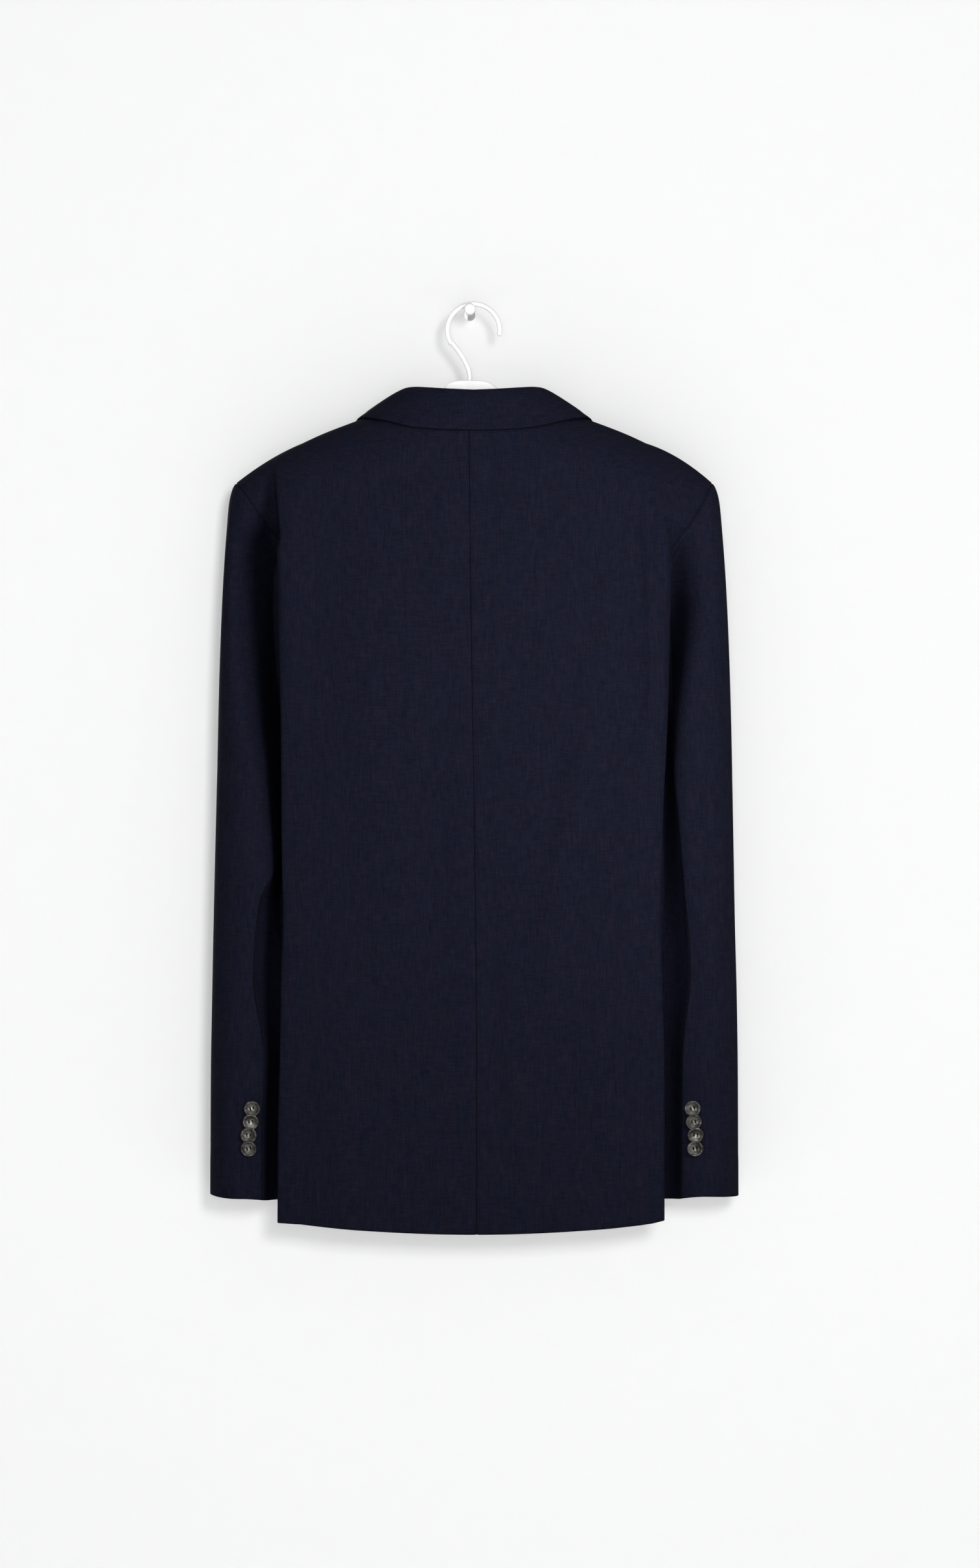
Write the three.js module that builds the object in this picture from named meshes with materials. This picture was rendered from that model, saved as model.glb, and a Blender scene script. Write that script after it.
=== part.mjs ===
// A man's single-breasted blazer on a plain hanger, hung by its hook from a wall peg.
// Millimetres, +Z up. The wall is the plane y = 0 and everything lies at y < 0: the back of
// the blazer faces -Y and its fronts face the wall. The origin is the middle of the peg's
// flat back, where the peg meets the wall. Left and right are the wearer's: left is at x < 0.
import * as THREE from 'three';

// ---------------------------------------------------------------- driving sizes
const CLOTH = 2;                    // thickness of every cloth wall, with its lining
const SEAM = 0.3;                   // gap left between two pieces at a seam
const LIFT = 0.4;                   // gap under a piece that lies on another
const LAPEL_LIFT = 1.1;             // gap under a lapel
const GARMENT_X = 4.2;              // the blazer hangs this far to the right of the peg
const HANG_Y = -55;                 // plane of the hanger, the hook and the shoulder ridge

const BACK_DEPTH = 48;              // from the hanger's plane to the centre back
const FRONT_DEPTH = 41;             // and to the centre front
const SIDE_LOSS = 5;                // both are this much shallower at the sides
const PANEL_HALF = 160;             // the flat stretch of a back or front ends here
const SHOULDER_ROUND = 50;          // height over which the shoulders round off
const NECK_HALF = 75;               // half the width of the neck hole
const NECK_BACK_Z = -108.5;         // neck seam at the centre back
const HEM_Z = -857;                 // hem at the centre back
const HEM_RISE = 11.5;              // the hem is this much higher at the side edges
const FRONT_HEM_Z = -855;
const FRONT_EDGE_IN = 12;           // the fronts fold this far inside the back's side edges
const UNDERLAP = 3.2;               // the right front dips this much under the left one

const CUFF_Z = -825;
const CROOK_Z = -430;               // above this the sleeve widens into the armhole
const SLEEVE_Y = -52;               // middle of the sleeve, front to back
const SLEEVE_EGG = 0.25;            // its section is this much deeper outside than inside

const BUTTON_R = 7.5;               // cuff buttons, 15 mm across
const BUTTON_T = 2.4;
const BUTTON_STAND = 0.5;           // gap between a cuff button and the sleeve
const BUTTON_TILT = THREE.MathUtils.degToRad(14.5);
const FRONT_BUTTON_R = 10;
const FRONT_BUTTON_T = 3;

const WIRE_R = 2.25;
const ARCH_R = 24.4;                // centre line of the hook's arch
const PEG_LENGTH = 64;
const PEG_GROOVE_R = 2.6;

const NAVY = new THREE.Color(0x15182a);
const HORN = new THREE.Color(0x4a4744);
const WHITE = new THREE.Color(0xeeeeec);

// ---------------------------------------------------------------- tables
// Shoulder ridge: height of the top of the shoulders along x.
const RIDGE = [
  { x: 0, z: -66 }, { x: 40, z: -79 }, { x: 75, z: -92 }, { x: 110, z: -104 },
  { x: 142, z: -116.3 }, { x: 172, z: -130.5 }, { x: 191, z: -140 }, { x: 207, z: -149.7 },
  { x: 221.5, z: -161.5 }, { x: 232, z: -172 },
];
// Side edges of the hanging body, where the back folds round to the sides.
const EDGE = [
  { z: -857, left: 181.8, right: 175.9 }, { z: -762, left: 181.2, right: 176 },
  { z: -692, left: 179.5, right: 175.7 }, { z: -622, left: 178.4, right: 174 },
  { z: -562, left: 176.6, right: 172.2 }, { z: -517, left: 177.7, right: 173.2 },
  { z: -435, left: 178.2, right: 176 }, { z: -376, left: 178.4, right: 178.5 },
  { z: -264, left: 179.2, right: 181.2 }, { z: -150, left: 183, right: 184 },
];
// Outer edge of the back: side seam up to the armhole (z -325), then the armhole.
const BACK_SEAM = [
  { z: -857, left: 163, right: 159, y: -84 }, { z: -560, left: 159, right: 156, y: -83 },
  { z: -400, left: 155, right: 155, y: -81 }, { z: -325, left: 157, right: 157, y: -79 },
  { z: -292, left: 163, right: 164, y: -79 }, { z: -250, left: 172, right: 174, y: -79.5 },
  { z: -229, left: 177, right: 182, y: -80 }, { z: -214, left: 182.5, right: 191, y: -81.5 },
  { z: -203, left: 190, right: 199, y: -82 }, { z: -185, left: 204, right: 210, y: -79 },
  { z: -174, left: 212, right: 216, y: -74.5 }, { z: -166, left: 218, right: 219.5, y: -67 },
  { z: -161.5, left: 221.5, right: 221.5, y: -55 },
];
// Outer edge of a front: side seam up to the armhole, then the armhole.
const FRONT_SEAM = [
  { z: -857, left: 160, right: 156, y: -24 }, { z: -560, left: 157, right: 154, y: -24 },
  { z: -400, left: 153, right: 153, y: -26 }, { z: -325, left: 154, right: 154, y: -28 },
  { z: -292, left: 158, right: 158, y: -28 }, { z: -240, left: 168, right: 168, y: -27 },
  { z: -214, left: 180, right: 179.5, y: -26 }, { z: -190, left: 199, right: 197.6, y: -29 },
  { z: -174, left: 211, right: 211, y: -36 }, { z: -166, left: 217.5, right: 217.5, y: -44 },
  { z: -161.5, left: 221.5, right: 221.5, y: -55 },
];
// Middle of the side panel, pressed inward by the sleeve.
const SIDE_MIDDLE = [
  { z: -857, left: 158, right: 154 }, { z: -560, left: 152, right: 149 },
  { z: -400, left: 146, right: 146 }, { z: -368, left: 147, right: 147 },
];
const SIDE_TOP_Z = -325;            // the side panel's corners, on the armhole
const ARMHOLE_SAG = 43;             // its top edge hangs this much lower in the middle

// Front edge of a front: lapel roll line, straight closing edge, then the cutaway to the hem.
const FRONT_EDGE = [
  { z: -858, x: 62 }, { z: -840, x: 34 }, { z: -810, x: 11 }, { z: -760, x: -8 },
  { z: -700, x: -16 }, { z: -640, x: -18 }, { z: -500, x: -18 }, { z: -412, x: 0 },
  { z: -300, x: 21.5 }, { z: -200, x: 41 }, { z: -132, x: 55 }, { z: -112, x: 61 },
  { z: -98, x: 68 }, { z: -92, x: 75 },
];
// Lapel: a point of the roll line, and the lapel's outer edge beside it.
const LAPEL = [
  { roll: -494, x: -12, z: -488 }, { roll: -450, x: 26, z: -440 }, { roll: -395, x: 58, z: -380 },
  { roll: -330, x: 86, z: -312 }, { roll: -265, x: 106, z: -248 }, { roll: -205, x: 118, z: -196 },
  { roll: -165, x: 124, z: -170 }, { roll: -134, x: 91, z: -161 },
];
// Collar, from the centre back round to its front end. n: neck seam, t: top of the roll,
// turn: direction of the roll's crown about Z, fall and drop: the loose edge, at this x and
// this far below the ridge, on the back up to COLLAR_BACK_ROWS and on the front after it.
const COLLAR = [
  { nx: 0, ny: -99.5, nz: -107.5, tx: 0, ty: -96, tz: -77.7, turn: -90, fall: 0, drop: 49.4 },
  { nx: 24, ny: -97.5, nz: -106.5, tx: 22, ty: -93.5, tz: -76.6, turn: -84, fall: 30, drop: 39.2 },
  { nx: 46, ny: -92, nz: -103, tx: 42, ty: -87, tz: -74.9, turn: -70, fall: 56, drop: 28 },
  { nx: 61, ny: -82, nz: -97, tx: 55, ty: -77, tz: -73.6, turn: -45, fall: 80, drop: 13.5 },
  { nx: 69, ny: -69, nz: -90, tx: 61, ty: -65, tz: -73.3, turn: -18, fall: 97, drop: 4.2 },
  { nx: 71.5, ny: -55, nz: -88, tx: 62.5, ty: -53, tz: -75.5, turn: 5, fall: 106.5, drop: 0 },
  { nx: 70, ny: -40, nz: -92, tx: 62, ty: -38, tz: -83, turn: 30, fall: 112, drop: 4 },
  { nx: 62.5, ny: -27, nz: -102, tx: 57.5, ty: -24, tz: -98, turn: 60, fall: 115.5, drop: 15 },
  { nx: 56.5, ny: -20, nz: -116, tx: 52.5, ty: -15.5, tz: -114.5, turn: 80, fall: 113, drop: 32 },
  { nx: 52.5, ny: -18, nz: -129.5, tx: 50, ty: -13, tz: -131, turn: 88, fall: 90, drop: 60 },
];
const COLLAR_BACK_ROWS = 5;
// Sleeve: outer and inner reach of its section, and half its depth.
const SLEEVE = [
  { z: -825, left: 246, right: 246.2, inner: 170, half: 39 },
  { z: -714, left: 245.6, right: 245.8, inner: 167, half: 39 },
  { z: -641, left: 244.4, right: 244.8, inner: 164, half: 39 },
  { z: -569, left: 243, right: 243, inner: 161, half: 39 },
  { z: -496, left: 241.3, right: 241.7, inner: 157, half: 39 },
  { z: -430, left: 239.6, right: 240.5, inner: 153, half: 39 },
  { z: -400, left: 238.6, right: 240, inner: 151, half: 39 },
];
// Armhole heights round the sleeve's top: 0 is the shoulder point, 90 the back, 180 the underarm.
const ARMHOLE = [
  { angle: 0, z: -161.5 }, { angle: 22, z: -166 }, { angle: 45, z: -181 }, { angle: 70, z: -205 },
  { angle: 95, z: -235 }, { angle: 120, z: -280 }, { angle: 143, z: -325 },
];
const UNDERARM_ANGLE = 143;         // from here on the sleeve meets the side panel
// Elbow seam of each sleeve, seen from the back.
const ELBOW_SEAM = [
  { z: -825, left: 196.5, right: 192.1 }, { z: -760, left: 196, right: 192.2 },
  { z: -700, left: 193.8, right: 192.4 }, { z: -622, left: 200.8, right: 197.7 },
  { z: -545, left: 185, right: 194 }, { z: -430, left: 172, right: 181 },
];
const INSEAM_ANGLE = 232;
const SLEEVE_SEAM_ANGLE = 0.4;      // taken off each side of a sleeve's two seams, in degrees
// Cuff buttons, top one first.
const CUFF_BUTTONS = [
  { left: 205.2, right: 201.8, z: -742 }, { left: 206.4, right: 202.9, z: -754.3 },
  { left: 208.3, right: 204.7, z: -766.6 }, { left: 208.2, right: 204.2, z: -778.9 },
];
const FRONT_BUTTONS_Z = [-518, -622];

// ---------------------------------------------------------------- helpers
const vec = (x, y, z) => new THREE.Vector3(x, y, z);
const { clamp, degToRad, lerp, smoothstep } = THREE.MathUtils;
const sideName = (side) => (side < 0 ? 'left' : 'right');

// Reads a column of a table at a value of its key: a smooth curve through the rows.
function read(table, key, column, value) {
  const rising = table[0][key] < table[table.length - 1][key] ? table : [...table].reverse();
  const last = rising.length - 1;
  const v = clamp(value, rising[0][key], rising[last][key]);
  let i = 0;
  while (i < last - 1 && v > rising[i + 1][key]) i += 1;
  const slope = (k) => {
    if (k === 0 || k === last) {
      const j = k === 0 ? 0 : last - 1;
      return (rising[j + 1][column] - rising[j][column]) / (rising[j + 1][key] - rising[j][key]);
    }
    const before = (rising[k][column] - rising[k - 1][column]) / (rising[k][key] - rising[k - 1][key]);
    const after = (rising[k + 1][column] - rising[k][column]) / (rising[k + 1][key] - rising[k][key]);
    return before * after <= 0 ? 0 : (2 * before * after) / (before + after);
  };
  const a = rising[i];
  const b = rising[i + 1];
  const width = b[key] - a[key];
  const t = (v - a[key]) / width;
  const t2 = t * t;
  const t3 = t2 * t;
  return (2 * t3 - 3 * t2 + 1) * a[column] + (t3 - 2 * t2 + t) * width * slope(i)
    + (3 * t2 - 2 * t3) * b[column] + (t3 - t2) * width * slope(i + 1);
}

function quadratic(p, k, q, t) {
  const s = 1 - t;
  return p.clone().multiplyScalar(s * s).addScaledVector(k, 2 * s * t).addScaledVector(q, t * t);
}

function cubic(p, a, b, q, t) {
  const s = 1 - t;
  return p.clone().multiplyScalar(s * s * s).addScaledVector(a, 3 * s * s * t)
    .addScaledVector(b, 3 * s * t * t).addScaledVector(q, t * t * t);
}

// Outward normal of a surface(u, v), by differences kept inside its square.
function normalAt(surface, u, v, out) {
  const e = 1e-3;
  const du = surface(Math.min(u + e, 1), v).sub(surface(Math.max(u - e, 0), v));
  const dv = surface(u, Math.min(v + e, 1)).sub(surface(u, Math.max(v - e, 0)));
  return du.cross(dv).multiplyScalar(out).normalize();
}

function meshOf(positions, index) {
  const geometry = new THREE.BufferGeometry();
  geometry.setAttribute('position', new THREE.Float32BufferAttribute(positions, 3));
  geometry.setIndex(index);
  geometry.computeVertexNormals();
  return geometry;
}

// A closed cloth wall: the outer face is surface(u, v), the inner one lies CLOTH inside it.
// Along the shoulder ridge the wall stands square to the seam.
function wall(surface, columns, rows, out, thickness = CLOTH) {
  const outer = [];
  const inner = [];
  for (let j = 0; j <= rows; j += 1) {
    for (let i = 0; i <= columns; i += 1) {
      const p = surface(i / columns, j / rows);
      const n = normalAt(surface, i / columns, j / rows, out);
      if (j === rows && Math.abs(p.y - HANG_Y) < 2) n.setY(0).normalize();
      outer.push(p);
      inner.push(p.clone().addScaledVector(n, -thickness));
    }
  }
  const count = outer.length;
  const at = (i, j) => j * (columns + 1) + i;
  const index = [];
  const quad = (a, b, c, d) => (out > 0 ? index.push(a, b, c, a, c, d) : index.push(a, c, b, a, d, c));
  for (let j = 0; j < rows; j += 1) {
    for (let i = 0; i < columns; i += 1) {
      quad(at(i, j), at(i + 1, j), at(i + 1, j + 1), at(i, j + 1));
      quad(count + at(i, j), count + at(i, j + 1), count + at(i + 1, j + 1), count + at(i + 1, j));
    }
  }
  const rim = [];
  for (let i = 0; i < columns; i += 1) rim.push(at(i, 0));
  for (let j = 0; j < rows; j += 1) rim.push(at(columns, j));
  for (let i = columns; i > 0; i -= 1) rim.push(at(i, rows));
  for (let j = rows; j > 0; j -= 1) rim.push(at(0, j));
  rim.forEach((a, k) => {
    const b = rim[(k + 1) % rim.length];
    quad(a, count + a, count + b, b);
  });
  return meshOf([...outer, ...inner].flatMap((p) => [p.x, p.y, p.z]), index);
}

// ---------------------------------------------------------------- body surfaces
const ridgeZ = (x) => read(RIDGE, 'x', 'z', Math.abs(x));

// Depth of a back (face -1) or front (face 1) at x and z, rounding off towards the ridge.
function panelY(x, z, face) {
  const below = clamp((ridgeZ(x) - z) / SHOULDER_ROUND, 0, 1);
  const round = Math.sqrt(1 - (1 - below) ** 2);
  const depth = (face < 0 ? BACK_DEPTH : FRONT_DEPTH) - SIDE_LOSS * (x / PANEL_HALF) ** 2;
  return HANG_Y + face * depth * round;
}

// The right front passes under the left one where they close.
function frontY(x, z, side) {
  const under = side > 0 ? UNDERLAP * (1 - smoothstep(x, 24, 60)) * (1 - smoothstep(z, -412, -340)) : 0;
  return panelY(x, z, 1) - under;
}

const neckZ = (x) => {
  const share = (Math.abs(x) / NECK_HALF) ** 2.5;
  return share < 1 ? lerp(NECK_BACK_Z, ridgeZ(NECK_HALF), share) : ridgeZ(x);
};
const hemZ = (x) => HEM_Z + HEM_RISE * (x / 180) ** 2;
const frontHemZ = (x) => FRONT_HEM_Z + HEM_RISE * (x / 180) ** 2;

// Height of a row at v: even from the hem up, then closer together over the shoulder round.
const ROUND_SHARE = 0.8;
function rowZ(x, v, bottom, top) {
  if (v >= ROUND_SHARE) {
    const angle = (Math.PI / 2) * ((1 - v) / (1 - ROUND_SHARE));
    return top(x) - SHOULDER_ROUND * (1 - Math.cos(angle));
  }
  return lerp(bottom(x), top(x) - SHOULDER_ROUND, v / ROUND_SHARE);
}

// The point of an edge table on the row v: the row and the edge cross there.
function onRow(edge, v, bottom, top) {
  let x = PANEL_HALF;
  for (let k = 0; k < 12; k += 1) x = lerp(x, edge(rowZ(x, v, bottom, top)), 0.8);
  return { x, z: rowZ(x, v, bottom, top) };
}

// One side of the back or front: flat stretch first, then the turn to its outer seam.
const FLAT_SHARE = 0.66;
const SHOULDER_BOW = { left: 6, right: 9 };   // lifts the shoulder line on its way to the sleeve

function panelPoint(side, face, u, v) {
  const name = sideName(side);
  const seam = face < 0 ? BACK_SEAM : FRONT_SEAM;
  const bottom = face < 0 ? hemZ : frontHemZ;
  const top = face < 0 ? neckZ : ridgeZ;
  const flatY = (x, z) => (face < 0 ? panelY(x, z, face) : frontY(x, z, side));
  if (u <= FLAT_SHARE) {
    const start = face < 0 ? centreBackX(v) * side : onRow((z) => read(FRONT_EDGE, 'z', 'x', z), v, bottom, top).x;
    const x = lerp(start, PANEL_HALF, u / FLAT_SHARE);
    const z = rowZ(x, v, bottom, top);
    return vec(side * x, flatY(x, z), z);
  }
  const end = onRow((z) => read(seam, 'z', name, z), v, bottom, top);
  const z0 = rowZ(PANEL_HALF, v, bottom, top);
  const p = vec(PANEL_HALF, flatY(PANEL_HALF, z0), z0);
  const q = vec(end.x, read(seam, 'z', 'y', end.z), end.z);
  const slope = (flatY(PANEL_HALF, z0) - flatY(PANEL_HALF - 1, z0));
  const edge = read(EDGE, 'z', name, end.z) - (face < 0 ? 0 : FRONT_EDGE_IN);
  const turned = smoothstep(-end.z, 185, 240);
  const kx = lerp((p.x + q.x) / 2, 2 * edge - (p.x + q.x) / 2, turned);
  const belly = face * 4 * (1 - smoothstep(v, 0.86, 1));   // none at the shoulder seam
  const ky = lerp((p.y + q.y) / 2 + belly, p.y + slope * (kx - p.x), turned);
  const kz = (p.z + q.z) / 2 + SHOULDER_BOW[name] * smoothstep(v, 0.82, 0.98);
  const point = quadratic(p, vec(kx, ky, kz), q, (u - FLAT_SHARE) / (1 - FLAT_SHARE));
  point.x *= side;
  return point;
}

// The centre back seam leans a little from neck to hem.
function centreBackX(v) {
  return lerp(2.4, -4.6, smoothstep(v, 0.15, 0.9));
}

// The side panel between its two seams, m = 0 at the back, v = 0 at the hem.
function sideZ(m, v) {
  const top = SIDE_TOP_Z - ARMHOLE_SAG * Math.sin(Math.PI * m);
  return lerp(hemZ(PANEL_HALF), top, v);
}
function sidePoint(side, m, v) {
  const name = sideName(side);
  const z = sideZ(m, v);
  const p = vec(read(BACK_SEAM, 'z', name, z), read(BACK_SEAM, 'z', 'y', z), z);
  const q = vec(read(FRONT_SEAM, 'z', name, z), read(FRONT_SEAM, 'z', 'y', z), z);
  const k = vec(2 * read(SIDE_MIDDLE, 'z', name, z) - (p.x + q.x) / 2, (p.y + q.y) / 2, z);
  const point = quadratic(p, k, q, m);
  point.x *= side;
  return point;
}

// Takes a surface back by half a seam at the given edges; each names its millimetres per unit.
function inset(surface, edges) {
  const u0 = edges.u0 ? SEAM / 2 / edges.u0 : 0;
  const u1 = edges.u1 ? 1 - SEAM / 2 / edges.u1 : 1;
  const v1 = edges.v1 ? 1 - SEAM / 2 / edges.v1 : 1;
  return (u, v) => surface(lerp(u0, u1, u), lerp(0, v1, v));
}

// ---------------------------------------------------------------- sleeve surfaces
// The armhole's edge at an angle round the sleeve.
function armholePoint(side, angle) {
  const a = angle <= 180 ? angle : 360 - angle;
  const table = angle <= 180 ? BACK_SEAM : FRONT_SEAM;
  if (a > UNDERARM_ANGLE) {
    const half = (a - UNDERARM_ANGLE) / (180 - UNDERARM_ANGLE) / 2;
    return sidePoint(side, angle <= 180 ? half : 1 - half, 1);
  }
  const z = read(ARMHOLE, 'angle', 'z', a);
  return vec(side * read(table, 'z', sideName(side), z), read(table, 'z', 'y', z), z);
}

// The angle round the sleeve's back at x and z.
function sleeveAngle(side, x, z) {
  const outer = read(SLEEVE, 'z', sideName(side), z);
  const inner = read(SLEEVE, 'z', 'inner', z);
  const share = (x - (outer + inner) / 2) / ((outer - inner) / 2);
  return THREE.MathUtils.radToDeg(Math.acos(clamp(share, -0.9, 0.9)));
}

function sleeveSection(side, angle, z) {
  const outer = read(SLEEVE, 'z', sideName(side), z);
  const inner = read(SLEEVE, 'z', 'inner', z);
  const a = degToRad(angle);
  const x = (outer + inner) / 2 + ((outer - inner) / 2) * Math.cos(a);
  const depth = read(SLEEVE, 'z', 'half', z) * (1 + SLEEVE_EGG * Math.cos(a));
  return vec(side * x, SLEEVE_Y - depth * Math.sin(a), z);
}

// Depth of the back of the sleeve at x and z.
function sleeveY(side, x, z) {
  return sleeveSection(side, sleeveAngle(side, x, z), z).y;
}

// The sleeve at an angle: t = 0 at the cuff, straight up to the crook, then into the armhole.
const CROOK_SHARE = 0.6;
const HEAD_GAP = 0.9;             // gap at the armhole seam, at the shoulder
const UNDERARM_GAP = 2.3;         // and under the arm
function sleevePoint(side, angle, t) {
  if (t <= CROOK_SHARE) return sleeveSection(side, angle, lerp(CUFF_Z, CROOK_Z, t / CROOK_SHARE));
  const start = sleeveSection(side, angle, CROOK_Z);
  const low = Math.min(angle, 360 - angle) / 180;
  const turn = degToRad(angle);
  const apart = lerp(HEAD_GAP, UNDERARM_GAP, low);
  const end = armholePoint(side, angle).add(
    vec(side * apart * (0.4 + 0.6 * Math.abs(Math.cos(turn))), 1.6 * apart * Math.sin(turn) * smoothstep(low, 0, 0.2), 0),
  );
  const reach = end.z - start.z;
  const lean = 0.8 * Math.sqrt(Math.abs(Math.cos(degToRad(angle / 2))));
  const into = vec(-side * lean, 0, Math.sqrt(1 - lean * lean));
  const grip = lerp(14, 34, low);
  const a = start.clone().add(vec(-side * 2, 0, reach * 0.45));
  const b = end.clone().addScaledVector(into, -grip);
  return cubic(start, a, b, end, (t - CROOK_SHARE) / (1 - CROOK_SHARE));
}

// Angle of the elbow seam at t.
function elbowAngle(side, t) {
  const z = lerp(CUFF_Z, CROOK_Z, Math.min(t / CROOK_SHARE, 1));
  return sleeveAngle(side, read(ELBOW_SEAM, 'z', sideName(side), z), z);
}

// ---------------------------------------------------------------- lapels and collar
const numbered = (table) => table.map((row, k) => ({ ...row, k }));
const LAPEL_ROWS = numbered(LAPEL);
const COLLAR_ROWS = numbered(COLLAR);

// A point of a front or back moved out by lift, for what lies on it.
function layOn(side, face, x, z, lift) {
  const y = (px, pz) => (face < 0 ? panelY(px, pz, -1) : frontY(px, pz, side));
  const dx = (y(x + 0.5, z) - y(x - 0.5, z));
  const zUp = Math.min(z + 0.5, ridgeZ(x));
  const dz = (y(x, zUp) - y(x, zUp - 1));
  const n = vec(-dx, 1, -dz).multiplyScalar(face).normalize();
  if (z >= ridgeZ(x) - 1e-6) n.set(0.42, 0, 0.9);
  const p = vec(x, y(x, z), z).addScaledVector(n, lift);
  p.x *= side;
  return p;
}

function lapelPoint(side, u, v) {
  const get = (column) => read(LAPEL_ROWS, 'k', column, v * (LAPEL.length - 1));
  const rollZ = get('roll');
  const outX = get('x');
  const outZ = get('z');
  let x0 = read(FRONT_EDGE, 'z', 'x', rollZ);
  if (side > 0) x0 = Math.max(x0, 1.5 - x0);
  const x = lerp(x0, Math.max(outX, x0 + 2), u);
  const z = lerp(rollZ, outZ, u);
  return layOn(side, 1, x, z, LAPEL_LIFT + CLOTH);
}

// The collar from its neck seam (u = 0) over the roll to its loose edge (u = 1).
const ROLL_GRIP = 8;
function collarPoint(u, s) {
  const side = s < 0.5 ? -1 : 1;
  const k = Math.abs(s - 0.5) * 2 * (COLLAR.length - 1);
  const get = (column) => read(COLLAR_ROWS, 'k', column, k);
  const neck = vec(side * get('nx'), get('ny'), get('nz'));
  const crown = vec(side * get('tx'), get('ty'), get('tz'));
  const turn = degToRad(get('turn'));
  const across = vec(side * Math.cos(turn), Math.sin(turn), 0).multiplyScalar(ROLL_GRIP);
  const fallX = get('fall');
  const face = k < COLLAR_BACK_ROWS ? -1 : 1;
  const edge = layOn(side, face, fallX, ridgeZ(fallX) - get('drop'), LIFT + CLOTH);
  if (u < 0.45) {
    const lower = neck.clone().lerp(crown, 0.5);
    return cubic(neck, lower, crown.clone().sub(across), crown, u / 0.45);
  }
  const bulge = vec(across.x, across.y, 0).multiplyScalar(0.25).add(vec(0, 0, 3));
  const lower = edge.clone().lerp(crown, 0.4).add(bulge);
  return cubic(crown, crown.clone().add(across), lower, edge, (u - 0.45) / 0.55);
}

// ---------------------------------------------------------------- hard parts
// A sew-through button: a dished disc with a raised rim, its face towards +Y.
function buttonGeometry(radius, thickness) {
  const h = thickness / 2;
  const profile = [
    [0, -h], [radius * 0.8, -h], [radius * 0.97, -h * 0.4], [radius, h * 0.3],
    [radius * 0.93, h], [radius * 0.8, h], [radius * 0.66, h * 0.45], [0, h * 0.35],
  ].map(([r, y]) => new THREE.Vector2(r, y));
  return closed(new THREE.LatheGeometry(profile, 20));
}

// Welds a three.js geometry's vertices by position and drops its empty triangles.
function closed(source) {
  const position = source.getAttribute('position');
  const order = source.index ? source.index.array : Array.from({ length: position.count }, (_, i) => i);
  const seen = new Map();
  const points = [];
  const remap = [];
  for (let i = 0; i < position.count; i += 1) {
    const key = [position.getX(i), position.getY(i), position.getZ(i)].map((n) => n.toFixed(4) * 1).join();
    if (!seen.has(key)) {
      seen.set(key, points.length / 3);
      points.push(position.getX(i), position.getY(i), position.getZ(i));
    }
    remap.push(seen.get(key));
  }
  const index = [];
  for (let i = 0; i < order.length; i += 3) {
    const [a, b, c] = [remap[order[i]], remap[order[i + 1]], remap[order[i + 2]]];
    if (a !== b && b !== c && a !== c) index.push(a, b, c);
  }
  return meshOf(points, index);
}

// Hook: an arch over the peg, then a reverse bend down to the stem in the hanger.
const ARCH_X = 3.5;
const ARCH_Z = PEG_GROOVE_R + SEAM + WIRE_R - Math.sqrt(ARCH_R ** 2 - ARCH_X ** 2);
const HUMP_X = -GARMENT_X;          // in the blazer's own frame, so straight under the peg
const HUMP_TOP_Z = -66;
const STEM_END_Z = HUMP_TOP_Z + SEAM;
function hookGeometry() {
  const points = [];
  const tip = degToRad(-8);
  const tail = degToRad(212);
  for (let k = 0; k <= 18; k += 1) {
    const a = lerp(tip, tail, k / 18);
    points.push(vec(ARCH_X + ARCH_R * Math.cos(a), HANG_Y, ARCH_Z + ARCH_R * Math.sin(a)));
  }
  const end = points[points.length - 1];
  const out = vec(Math.sin(tail), 0, -Math.cos(tail));
  const foot = vec(0, HANG_Y, STEM_END_Z + 3);
  for (let k = 1; k <= 7; k += 1) {
    points.push(cubic(end, end.clone().addScaledVector(out, 11), foot.clone().add(vec(0, 0, 15)), foot, k / 7));
  }
  points.push(foot.clone().setZ(STEM_END_Z));
  const wire = new THREE.Shape().absarc(0, 0, WIRE_R, 0, 2 * Math.PI);
  const path = new THREE.CatmullRomCurve3(points, false, 'centripetal');
  return closed(new THREE.ExtrudeGeometry(wire, { steps: 34, curveSegments: 5, extrudePath: path }));
}

// Peg: a round pin from the wall, with a groove for the hook and a small round head.
function pegGeometry() {
  const groove = -HANG_Y;
  const profile = [
    [0, 0], [5, 0], [5, 1], [4.6, groove - 8], [PEG_GROOVE_R, groove - 3.2], [PEG_GROOVE_R, groove + 3],
    [4.6, groove + 3.6], [5.5, groove + 5], [5.5, PEG_LENGTH - 2], [4.2, PEG_LENGTH], [0, PEG_LENGTH],
  ].map(([r, y]) => new THREE.Vector2(r, y));
  return closed(new THREE.LatheGeometry(profile, 20)).rotateX(Math.PI);
}

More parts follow.
